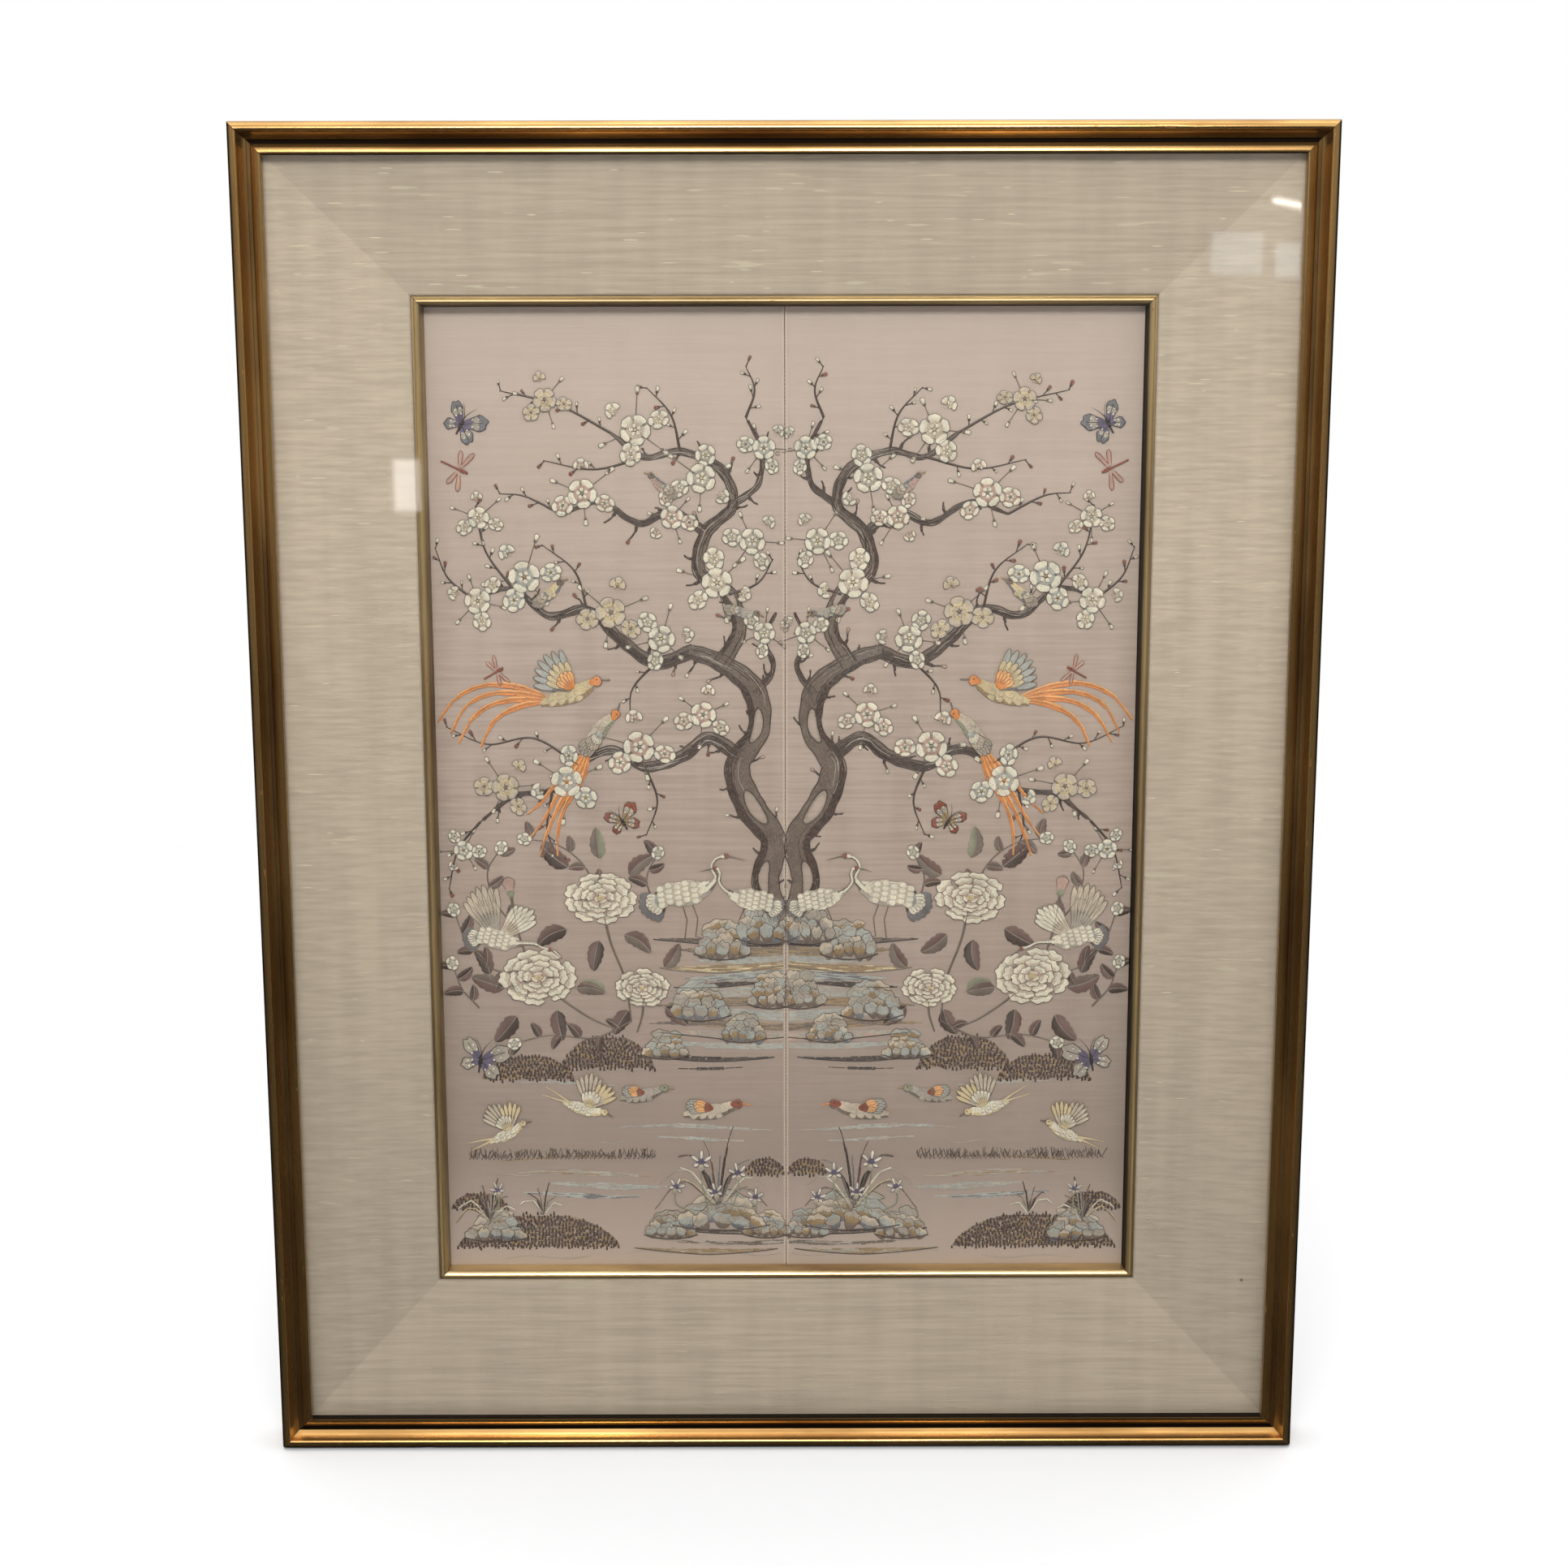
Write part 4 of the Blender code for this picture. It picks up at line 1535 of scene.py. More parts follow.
Bough = namedtuple("Bough", "points widths hollows")
BOUGHS = (
    Bough((4-76j, 14-50j, 8-22j, 24+2j, 33+30j, 18+56j, 22+84j, 44+102j, 66+110j),
          (13, 19, 17, 20, 17, 14, 16, 12, 9),
          ((30, -1.5, 11, 3.4), (84, 2.0, 13, 4.2), (148, -1.0, 12, 3.2))),
    Bough((44+100j, 31+124j, 38+148j, 58+164j, 53+190j, 35+208j, 43+232j, 70+244j,
           94+240j, 116+256j),
          (11, 9, 10, 8, 8, 6, 6, 4, 3, 1.5), ((52, 0.6, 9, 2.2),)),
    Bough((62+110j, 88+102j, 112+118j, 134+138j, 160+134j, 184+152j, 212+146j),
          (9, 8, 7, 5.5, 4.5, 3, 1.2), ()),
    Bough((30+36j, 52+50j, 70+38j, 96+30j, 118+42j, 142+32j, 160+14j, 186+10j, 210-8j),
          (10, 8, 8, 6, 5.5, 4.5, 3.5, 2.5, 1), ()),
    Bough((54+190j, 76+204j, 98+196j, 124+210j, 150+202j), (5.5, 4.5, 3.5, 2.5, 1.2), ()),
    Bough((36+208j, 18+222j, 16+246j, 26+266j), (4.5, 3.2, 2.2, 1), ()),
    Bough((20+80j, 8+98j, 14+118j, 6+136j), (4, 3, 2.2, 1), ()),
)
SPRIGS = (
    ((116+256j, 150+274j, 190+284j), 9), ((94+240j, 128+232j, 162+238j), 6),
    ((212+146j, 228+160j, 236+180j), 5), ((184+152j, 202+178j, 208+208j), 7),
    ((150+202j, 174+214j, 192+216j), 5), ((210-8j, 226-28j, 233-56j), 6),
    ((142+32j, 172+50j, 204+46j, 232+58j), 9), ((26+266j, 20+284j, 26+300j), 5),
    ((134+138j, 142+164j, 164+182j), 6), ((70+244j, 76+268j, 92+286j), 6),
    ((96+30j, 88+6j, 96-18j), 5), ((160+14j, 164-14j, 156-34j), 6),
    ((38+148j, 18+156j, 8+172j), 4), ((88+102j, 104+84j, 106+66j), 4),
)
CLUSTERS = (
    (100+258j, 10.5, 20), (56+226j, 10, 200), (136+216j, 10, 60), (176+160j, 11, 10),
    (118+136j, 10.5, 80), (208+144j, 9, 330), (84+118j, 9.5, 140), (100+44j, 11, 45),
    (150+20j, 11, 300), (192+16j, 9.5, 80), (46+156j, 10.5, 160), (22+184j, 9, 100),
    (56+66j, 9, 60), (14+246j, 8, 100), (160+278j, 8, 30), (206+200j, 7.5, 60),
    (14+122j, 7.5, 120), (76+200j, 8, 280), (222-28j, 7, 260),
)
BLOOM_SHADES = (
    ("cream", "ivory", "straw"), ("cream", "rose", "sage"), ("ivory", "straw", "ochre"),
    ("cream", "ash", "straw"), ("cream", "mist", "ochre"),
)
LEAF_SHADES = (
    ("mauve", "bark", "ash"), ("umber", "mauve", "ash"), ("sage", "umber", "ash"),
)


def side_line(work, route, start, end, share, thread, width, layer):
    """A cord that keeps a share of the way from a bough's middle to its edge."""
    phase = work.between(0, tau)
    places = [
        route.beside(at, route.half_width(at) * share + 0.3 * MM * sin(at * 420 + phase))
        for at in np.arange(start, end, 2.5 * MM)
    ]
    if len(places) > 3:
        work.cord(places, thread, width, layer)


def gnarled(work, branch, dark, layer):
    """A bough with dark edges, bark lines, open hollows and short spurs."""
    points, widths = spots(*branch.points), [w * MM for w in branch.widths]
    hollows = [[value * MM for value in row] for row in branch.hollows]
    threads = ("umber", "bark", "bark") if dark else ("umber", "umber", "bark")
    work.bough(points, widths, threads, layer, hollows=hollows)
    route = Route(points, widths)
    for share in (-1, 1):
        side_line(work, route, 0, route.length, share, "bark", 0.00075, layer + 0.8)
    bark_lines(work, route, hollows, layer + 0.9)
    for middle, aside, long, broad in hollows:
        for grow, thread in ((1.12, "bark"), (0.86, "ash")):
            angles = [tau * k / 24 for k in range(25)]
            ring = [
                route.beside(middle + long * grow * cos(a), aside + broad * grow * sin(a))
                for a in angles
            ]
            work.cord(ring, thread, 0.0006, layer + 1)
    spurs(work, route, layer - 0.4)


def bark_lines(work, route, hollows, layer):
    """Broken lines along the thick part of a bough, clear of its hollows."""
    at = 0.0
    while at < route.length - 10 * MM:
        share = work.between(-0.7, 0.7)
        run = work.chance(12, 34)
        in_hollow = any(abs(at + run / 2 - m) < long + run / 2 for m, _, long, _ in hollows)
        if not in_hollow and route.half_width(at) > 2 * MM:
            thread = work.pick(("bark", "bark", "ink", "ash"))
            end = min(at + run, route.length)
            side_line(work, route, at, end, share, thread, 0.0005, layer)
        at += work.chance(3, 8)


def spurs(work, route, layer):
    """Short bent twigs on both sides of a bough, some with a bud."""
    at = work.chance(8, 16)
    while at < route.length - 5 * MM:
        side = work.pick((-1, 1))
        out = route.heading(at) * work.veer(side, 40, 80)
        root = route.beside(at, side * route.half_width(at) * 0.8)
        tip = root + out * work.between(4, 11) * MM
        knee = mixed(root, tip, 0.5) + 1j * out * side * 1.2 * MM
        widths = (2.6 * MM, 1.6 * MM, 0.5 * MM)
        work.bough([root, knee, tip], widths, ("bark",) * 3, layer, (3, 5))
        if work.random.random() < 0.4:
            shade = work.pick(("cream", "rust", "rose"))
            bud(work, Spot(tip, turned(out)), 3.6 * MM, shade)
        at += work.chance(13, 24)


def work_trees(work):
    """Two plum trees that face each other across the seam."""
    for points, count in SPRIGS:
        sprig(work, spots(*points), count)
    for number, branch in list(enumerate(BOUGHS))[::-1]:
        gnarled(work, branch, number > 1, 1.6 if number > 1 else 2.0)


def work_blossoms(work):
    """Plum blossoms on the boughs."""
    for number, (place, size, turn) in enumerate(CLUSTERS):
        shades = BLOOM_SHADES[number * 3 % 5]
        cluster(work, place * MM, size * MM, turn + work.between(-15, 15), shades)


STREAMERS = (
    (-0.4+0.02j, -0.9+0.34j, -1.5+0.52j, -2.1+0.42j, -2.6+0.02j),
    (-0.4+0.0j, -0.9+0.22j, -1.5+0.34j, -2.0+0.20j, -2.4-0.24j),
    (-0.4-0.02j, -0.9+0.11j, -1.4+0.15j, -1.9-0.02j, -2.3-0.46j),
    (-0.4-0.05j, -0.8+0.0j, -1.2-0.04j, -1.6-0.22j, -1.9-0.62j),
)
HANGING = (
    (-0.4+0.02j, -1.0+0.16j, -1.7+0.10j, -2.3+0.20j, -2.8+0.46j),
    (-0.4+0.0j, -1.0+0.06j, -1.7-0.02j, -2.4+0.02j, -3.0+0.12j),
    (-0.4-0.03j, -1.0-0.05j, -1.6-0.15j, -2.2-0.16j, -2.7-0.24j),
    (-0.4-0.05j, -0.9-0.15j, -1.4-0.30j, -1.9-0.38j, -2.3-0.54j),
)
SPREAD_WING = (
    (128, 64, 7, 0.86, "slate", "mist"), (122, 58, 6, 0.60, "ochre", "straw"),
    (116, 50, 5, 0.38, "orange", "amber"),
)
FOLDED_WING = (
    (194, 28, 5, 0.66, "slate", "ash"), (190, 30, 5, 0.46, "umber", "ivory"),
    (186, 30, 4, 0.30, "mist", "cream"),
)
PALE_WINGS = (
    (112, 44, 6, 1.0, "ash", "ivory"), (68, 40, 5, 0.9, "ivory", "straw"),
    (100, 60, 6, 0.5, "straw", "cream"),
)
NECKS = {
    "tall": (0.56+0.22j, 0.50+0.40j, 0.60+0.54j, 0.74+0.56j),
    "bent": (0.60+0.16j, 0.72+0.30j, 0.70+0.46j, 0.80+0.54j),
    "stretched": (0.62+0.12j, 0.80+0.16j, 0.96+0.12j, 1.10+0.12j),
}
SOARING_WINGS = ((126, 40, 7, 1.0, "ash", "ivory"), (60, 34, 6, 0.8, "ivory", "cream"))
DUCK_WINGS = ((172, 24, 5, 0.60, "slate", "mist"), (168, 26, 4, 0.44, "rust", "amber"))
SMALL_BIRDS = ((160+148j, 150, 22, "straw"), (82+220j, 30, 20, "rose"), (30+136j, 200, 20, "ash"))
SWALLOWS = ((142-214j, 205, 26), (196-232j, 160, 24))
DUCKS = (
    (52-216j, 178, 34, ("umber", "ivory", "rust", "orange")),
    (100-204j, 176, 28, ("umber", "ash", "sage", "ochre")),
)


def work_birds(work):
    """Two long-tailed birds, white waders, swallows, ducks and small birds."""
    flying = spot(146+80j, 168, flip=True)
    trail(work, flying, 36 * MM, STREAMERS, 4.0 * MM, 2.6)
    bird(work, flying, 36 * MM, ("ochre", "straw", "orange", "umber"), SPREAD_WING)
    perched = spot(128+54j, 118)
    trail(work, perched, 32 * MM, HANGING, 3.8 * MM, 3.4)
    bird(work, perched, 32 * MM, ("sage", "ivory", "orange", "umber"), FOLDED_WING, 4.4)
    for place, turn, size, breast in SMALL_BIRDS:
        shades = ("slate", breast, "umber", "ochre")
        bird(work, spot(place, turn, flip=turn > 90), size * MM, shades, FOLDED_WING)
    wader(work, spot(70-60j, 172, flip=True), 42 * MM, NECKS["tall"])
    wader(work, spot(24-64j, 10), 34 * MM, NECKS["bent"])
    soaring = spot(200-92j, 196, flip=True)
    wing_fan(work, soaring, 40 * MM, SOARING_WINGS, 2.4)
    wader(work, soaring, 32 * MM, NECKS["stretched"], legs=False)
    for place, turn, size in SWALLOWS:
        swallow = spot(place, turn, flip=True)
        for reach in (0.14, -0.10):
            tail = swallow.path(size * MM, -0.4, -0.8 + 0.6j * reach, -1.2 + 1j * reach)
            work.twig(tail, "straw", 0.0018, 3.0)
        bird(work, swallow, size * MM, ("straw", "cream", "straw", "umber"), PALE_WINGS, 3.4)
    for place, turn, size, shades in DUCKS:
        bird(work, spot(place, turn, flip=True), size * MM, shades, DUCK_WINGS, 3.0)


def work_insects(work):
    """Butterflies and dragonflies."""
    butterfly(work, spot(216+262j, 118, 25), 18 * MM, ("ink", "plum", "slate", "cream"))
    butterfly(work, spot(112-8j, 60, 20), 15 * MM, ("ink", "ochre", "rust", "cream"))
    butterfly(work, spot(214-178j, 100, 15), 21 * MM, ("ink", "plum", "ash", "cream"))
    dragonfly(work, spot(218+232j, 205, 15), 22 * MM)
    dragonfly(work, spot(196+96j, 150, 15), 17 * MM)


PEONY_LEAVES = (
    (150-40j, 40, 24, 12, 0), (108-46j, 140, 22, 11, 1), (152-84j, -30, 24, 12, 0),
    (112-88j, 215, 22, 11, 1), (130-92j, -80, 22, 11, 0), (196-126j, 20, 24, 12, 1),
    (188-146j, -50, 24, 12, 0), (160-142j, -100, 22, 11, 0), (146-126j, 190, 20, 10, 1),
    (84-112j, 120, 20, 10, 1), (84-140j, 220, 20, 10, 0), (110-142j, -60, 20, 11, 0),
    (126-128j, 20, 18, 9, 2), (128-34j, 84, 22, 10, 2), (206-116j, 60, 20, 10, 0),
)
PEONY_STEMS = (
    (128-62j, 122-92j, 112-120j, 108-150j), (172-118j, 156-134j, 136-148j, 118-156j),
    (100-128j, 100-144j, 104-158j), (190-60j, 186-84j, 180-104j, 172-118j),
)
SPRAYS = (
    ((186-84j, 200-66j, 206-44j, 196-26j), 5), ((172-118j, 204-112j, 222-92j, 230-70j), 6),
    ((128-62j, 140-38j, 158-24j, 180-20j), 5), ((108-150j, 134-162j, 164-160j, 190-166j), 6),
    ((90-70j, 96-48j, 88-30j), 4), ((214-140j, 226-126j, 232-108j), 4),
)
PEONIES = ((128-62j, 25, 44), (172-118j, 27, 42), (100-126j, 19, 44))


def work_garden(work):
    """Peonies and leafy sprays on both sides of the bank."""
    for stem in PEONY_STEMS:
        work.twig(spots(*stem), "umber", 0.0020, 1.2, 0.4)
    for points, count in SPRAYS:
        spray(work, spots(*points), count, 13, LEAF_SHADES[count % 2])
    for place, turn, length, width, pick in PEONY_LEAVES:
        bend = work.between(-0.12, 0.12)
        leaf(work, spot(place, turn), length * MM, width * MM, LEAF_SHADES[pick], bend, 1.8)
    for place, radius, lean in PEONIES:
        peony(work, spot(place, work.between(-8, 8), lean), radius * MM)
    bud(work, spot(190-60j, 80), 12 * MM, "rose", "sage", 2.4)


BANKS = (
    ("umber", "bark", -93, 2.4, 0, 92, "ink"), ("ochre", "umber", -99, 3.2, 0, 78, None),
    ("mist", "ash", -105, 2.8, 0, 64, None), ("ochre", "straw", -111, 3.0, 0, 88, "umber"),
    ("mist", "slate", -118, 3.0, 0, 72, None), ("bark", "ink", -124, 1.8, 14, 78, "ink"),
    ("ash", "mist", -131, 3.4, 0, 84, None), ("ochre", "umber", -138, 3.0, 0, 90, "umber"),
    ("mist", "ash", -146, 3.4, 0, 80, None), ("umber", "ochre", -153, 2.6, 0, 96, None),
    ("ash", "rose", -160, 2.8, 0, 88, "bark"), ("mist", "ash", -167, 2.0, 0, 96, None),
    ("bark", "ink", -176, 1.8, 8, 104, "ink"), ("ink", "bark", -183, 1.0, 30, 76, None),
    ("mist", "ash", -228, 1.6, 10, 120, None), ("ash", "mist", -236, 1.2, 24, 96, None),
    ("mist", "ash", -196, 1.0, 120, 186, None), ("ash", "ochre", -262, 2.2, 96, 190, None),
    ("mist", "ash", -270, 2.6, 84, 170, None), ("mist", "slate", -277, 1.8, 100, 190, None),
    ("ochre", "ash", -318, 2.4, 6, 108, "bark"), ("umber", "ash", -312, 1.6, 0, 90, None),
    ("bark", "umber", -304, 1.6, 4, 100, "ink"),
)
MOUNDS = (  # start, end, foot and height
    (92, 158, -184, 24), (148, 214, -192, 18), (118, 234, -316, 25), (0, 30, -262, 12),
    (196, 238, -288, 13),
)
CRAGS = (
    (14-86j, 38, 30, "slate"), (44-98j, 36, 26, "umber"), (10-134j, 30, 24, "umber"),
    (60-142j, 40, 26, "slate"), (84-172j, 30, 18, "umber"), (30-160j, 30, 18, "slate"),
    (46-296j, 62, 26, "slate"), (82-304j, 34, 20, "umber"), (14-304j, 30, 18, "umber"),
    (206-306j, 40, 20, "slate"),
)
ORCHID_BLADES = (
    (100, 64, 2, 2.6, "bark", "ash"), (80, 58, 6, 2.2, "mauve", "ash"),
    (62, 60, 14, 2.4, "bark", "umber"), (118, 50, 8, 2.2, "umber", "ash"),
    (44, 58, 22, 2.0, "ash", "cream"), (136, 46, 14, 2.0, "ash", "cream"),
    (30, 52, 26, 1.6, "umber", "straw"), (92, 40, 0, 2.0, "slate", "ash"),
    (150, 40, 18, 1.6, "umber", "ash"), (70, 38, 4, 2.0, "ink", "slate"),
    (110, 34, 4, 2.0, "ink", "slate"),
)
ORCHID_CLUMPS = ((48-288j, 1.0), (210-298j, 0.55), (172-292j, 0.4))
ORCHIDS = (
    (34-262j, 9), (60-254j, 10), (78-272j, 8), (22-280j, 8), (204-274j, 7), (50-276j, 8),
)
RIPPLES = ((30-322j, 26), (90-320j, 22), (170-324j, 30), (196-262j, 20), (130-238j, 16))


def work_ground(work):
    """Banks of earth and water, rocks, moss, grass and clumps of orchids."""
    for thread, second, level, half, start, end, edge in BANKS:
        bank(work, thread, second, level * MM, half * MM, start * MM, end * MM, 0.5, edge)
    for mound in MOUNDS:
        moss_mound(work, *(value * MM for value in mound))
    for place, width, height, deep in CRAGS:
        crag(work, place * MM, width * MM, height * MM, deep, 1.2)
    grass(work, 92 * MM, 226 * MM, -250 * MM)
    for place, share in ORCHID_CLUMPS:
        rows = [
            (turn, reach * share, droop * share, width * (0.4 + 0.6 * share), thread, tip)
            for turn, reach, droop, width, thread, tip in ORCHID_BLADES
        ]
        blades(work, place * MM, rows if share > 0.5 else rows[:6])
    for place, size in ORCHIDS:
        root = (place.real * 0.6 + 19 if place.real < 100 else 210) - 290j
        work.twig(spots(root, place - 12j, place), "sage", 0.0013, 2.2, 0.3)
        orchid(work, spot(place, work.between(-25, 25)), size * MM)
    for place, reach in RIPPLES:
        wave = spots(*(place + x * reach + 1.2j * sin(4 * x) for x in (-1, -0.5, 0, 0.5, 1)))
        work.cord(smooth_path(wave, 0.003), "ash", 0.0007, 1.0, taper=0.6)


DESIGNS = {
    "trees": work_trees,
    "blossoms": work_blossoms,
    "birds": work_birds,
    "insects": work_insects,
    "garden": work_garden,
    "ground": work_ground,
}


def embroider(name):
    """Works one group of motifs on both panels."""
    materials = {thread: floss_material(thread) for thread in THREADS}
    for panel, side in PANELS:
        work = Needlework(side, f"{name} {panel}")
        DESIGNS[name](work)
        work.pieces(f"embroidery_{name}_{panel}", materials)


# ---------------------------------------------------------------- pieces


def make_moulding():
    """The gilt scoop moulding, in four mitred lengths."""
    leaf_finish = gilt_material("moulding_gilt", settings().gilt.gold, 0.75)
    groove = (GROOVE_START + GROOVE_END) / 2
    # dirt and painted shade, one strength for each of SIDES: in the groove, the scoop, at the
    # lip's inner edge and the outer edge; the last row darkens the lip on the bottom length only
    hollows = (
        Hollow(groove, 0.0012, (2.4, 1.8, 2.6, 1.8)),
        Hollow(groove - 0.0036, 0.0028, (0.1, 0.4, 0.7, 0.4)),
        Hollow(LIP.left - FRAME.left, 0.0012, (1.1, 0.5, 0.9, 0.5)),
        Hollow(0, 0.0024, (1.1, 1.6, 0.2, 1.6)),
        Hollow(groove + 0.0024, 0.0022, (0.7, 0, 0, 0)),
    )
    gilt_border("rail", FRAME, LIP, rail_outline, (RIM_CREST, LIP_CREST.x), hollows, 0.006,
                [leaf_finish, wood_material()])


def make_fillet():
    """The thin gilt fillet round the sight."""
    leaf_finish = gilt_material("fillet_gilt", settings().gilt.pale_gold, 0.60, 0.90, 0.27)
    toe = FILLET_OUTER.right - SIGHT.right
    # painted shade: a dark line in the step beside the liner, and a darker cove on every side but
    # the bottom
    hollows = (
        Hollow(0.0, 0.0011, (1.0, 1.3, 1.2, 1.3)), Hollow(toe, 0.0025, (0.0, 1.0, 0.9, 0.7)),
    )
    gilt_border("fillet", FILLET_OUTER, SIGHT, fillet_outline, (FILLET_CREST,), hollows, 0.012,
                [leaf_finish, wood_material()])


def dress_node(name, material):
    """Gives a CAD node its finish in place."""
    node = bpy.data.objects[name]
    node.data.materials.clear()
    node.data.materials.append(material)


def shrunk(outline, amount):
    """An outline moved inward by a cloth's thickness."""
    moved = []
    for index, point in enumerate(outline):
        ahead = outline[min(index + 1, len(outline) - 1)] - outline[max(index - 1, 0)]
        ahead.normalize()
        moved.append(point + Vector((ahead.y, -ahead.x)) * amount)
    return moved


CLOTH_STEP, CLOTH_TRIM = 0.02, 0.00002  # the cloths all but touch at the mitres
CORE_STEP = 0.3
# painted light: each length's cloth is lighter or darker for how the light falls on its side
LINER_SIDE_LIGHT = {"top": 0.92, "bottom": 1.13, "left": 1.01, "right": 1.01}


def make_liner():
    """Four bevelled liner lengths, each wrapped in raw silk, with the silk's slubs."""
    own = settings().liner
    rng = random.Random("slubs")
    core_wood, slub_finish = wood_material(), slub_material()
    slot, border = "liner_cloth", (LINER_OUTER, LINER_INNER)
    for turn, side in enumerate(SIDES):
        node = f"liner_{side}"
        width = side_widths(*border)[turn]
        outline = liner_outline(width)
        section = outline + shrunk(outline, LINER_CLOTH)[::-1]
        verts, faces, _ = mitred_length(turn, *border, section, CLOTH_STEP, CLOTH_TRIM)
        # a lighter or darker copy of the cloth for each side, painted light
        cloth = liner_material(f"raw_silk_{side}", toned(own.cloth, LINER_SIDE_LIGHT[side]))
        piece = add_piece(f"{node}_cloth", verts, faces, [cloth], [node])
        piece.data.set_sharp_from_angle(angle=SHARP_ANGLE)

        section, floor = shrunk(outline, LINER_CLOTH + CLOTH_GAP), LAYER_FLOOR + CLOTH_GAP
        section[0].x, section[-1].y = 0, floor
        section.append(Vector((0, floor)))
        verts, faces, grain = mitred_length(turn, *border, section, CORE_STEP, FIT_GAP / 2)
        core = add_piece(f"{node}_core", verts, faces, [core_wood], [node])
        store(core, "grain", "FLOAT_VECTOR", grain)

        slubs = make_slubs(turn, side, width, own.slubs, slub_finish, rng)


SLUB_MARGIN = 0.008  # slubs stay this far from the mitres and the outer edge
SLUB_SINK = 0.00003  # and their feet lie this far in the cloth
SLUB_REACH = (0.0015, 0.0085)  # least and most half length
SLUB_THICK = (0.00026, 0.00062)


def make_slubs(turn, side, width, count, finish, rng):
    """Thick places in the weft of one liner cloth, each a thin level spindle."""
    widths = side_widths(LINER_OUTER, LINER_INNER)
    origin, length = corner(LINER_OUTER, turn), side_length(LINER_OUTER, turn)
    verts, faces, made = [], [], 0
    while made < count:
        across = rng.uniform(SLUB_MARGIN, width - LINER_ROLL - 0.001)
        along = rng.uniform(0.01, length - 0.01)
        if not across / width * widths[turn - 1] < along - SLUB_MARGIN:
            continue
        if not along + SLUB_MARGIN < length - across / width * widths[(turn + 1) % 4]:
            continue
        made += 1
        middle = origin + ALONG[turn] * along + INWARD[turn] * across
        reach = rng.uniform(*SLUB_REACH) * rng.uniform(0.5, 1.0)
        thick = rng.uniform(*SLUB_THICK)
        lean = rng.uniform(-0.02, 0.02)
        faces += lattice_faces(7, 4, start=len(verts))
        for station in range(7):
            t = station / 3 - 1
            swell = sqrt(max(1 - t * t, 0.0)) ** 1.4 + 0.02
            for angle in (0, 60, 120, 180):
                up = sin(radians(angle)) * thick * 0.6 * swell
                rise = cos(radians(angle)) * thick * swell
                place = middle + Vector((t * reach, 0, t * reach * lean + rise))
                inward = (place - origin).dot(INWARD[turn])
                height = liner_surface(width, inward) + up - SLUB_SINK
                verts.append(place - Vector((0, height, 0)))
    return add_piece(f"liner_{side}_slubs", verts, faces, [finish])


# Distances from the seam of the silk's closest points, where its folded edge turns under
SEAM_STEPS = (SEAM_HALF_GAP, 0.0004, 0.0007, 0.0011, 0.0016, 0.0022, 0.0030, 0.0042, 0.0060)
# The folded edge swells a little before it rolls back into the seam.
Swell = namedtuple("Swell", "place half_width rise")
FOLD = Swell(0.0011, 0.0009, 0.0004)
ROLL = Swell(SEAM_HALF_GAP, 0.0003, -0.0003)
SILK_STEPS = (48, 130)  # points across the flat of a panel, and up it
SILK_BODY = 0.0008  # the silk's own thickness


def make_silk_panel(panel, side, finish):
    """One panel of silk with its creases, and its edge folded under at the seam."""
    far = abs(SILK_EDGE.left if side < 0 else SILK_EDGE.right)
    across = np.array([*SEAM_STEPS, *np.linspace(0.009, far, SILK_STEPS[0])])
    up = np.linspace(SILK_EDGE.bottom, SILK_EDGE.top, SILK_STEPS[1])
    x, z = np.meshgrid(across * side, up)
    fold = FOLD.rise * ridge_share(np.abs(x), FOLD.place, FOLD.half_width)
    roll = ROLL.rise * ridge_share(np.abs(x), ROLL.place, ROLL.half_width)
    front = silk_front(x, z) + fold + roll
    verts = np.column_stack([x.ravel(), -front.ravel(), z.ravel()])
    faces = [face[::side] for face in lattice_faces(len(up), len(across))]
    name = f"ground_silk_{panel}"
    piece = add_piece(name, verts, faces, [finish], [f"silk_{panel}"])
    solid = piece.modifiers.new("Silk thickness", "SOLIDIFY")
    solid.thickness = SILK_BODY
    solid.offset = -1.0
    return piece


def make_silk():
    """Two panels of ground silk, their folded edges sewn together down the middle."""
    finish = ground_silk_material()
    sewn = [make_silk_panel(panel, side, finish) for panel, side in PANELS]
    extra = {"left": [make_seam()], "right": []}


LADDER_PITCH = (0.0021, 0.0029)  # least and most from one stitch to the next
LADDER_REACH = 0.0012  # half the length of a stitch over the seam
LADDER_HALF = 0.00016  # and half its width
LADDER_RISE = 0.00034
LADDER_RIDGE = 0.00014
LADDER_CLEAR = 0.00012  # its ends stand this far off the silk
LADDER_ENDS = 0.002  # from the sight's edges to the first and last stitch


def make_seam():
    """Small ladder stitches over the seam, each a low arched strip with a ridge."""
    thread = opaque(settings().silk.seam_thread)
    rng = random.Random("seam")
    finish = new_material("seam_thread", Roughness=0.55, Base_Color=thread)[0]
    verts, faces = [], []
    z = SIGHT.bottom + LADDER_ENDS
    while z < SIGHT.top - LADDER_ENDS:
        lean = rng.uniform(-0.0003, 0.0003)
        base = float(silk_front(0.0, z)) + LADDER_CLEAR
        faces += lattice_faces(5, 3, start=len(verts))
        for step in range(5):
            t = step / 4 * 2 - 1
            height = base + LADDER_RISE * (1 - t * t)
            for edge, ridge in ((LADDER_HALF, 0), (0, LADDER_RIDGE), (-LADDER_HALF, 0)):
                verts.append((t * LADDER_REACH, -(height + ridge), z + lean * t + edge))
        z += rng.uniform(*LADDER_PITCH)
    return add_piece("seam_stitches", verts, faces, [finish])


# ---------------------------------------------------------------- stage


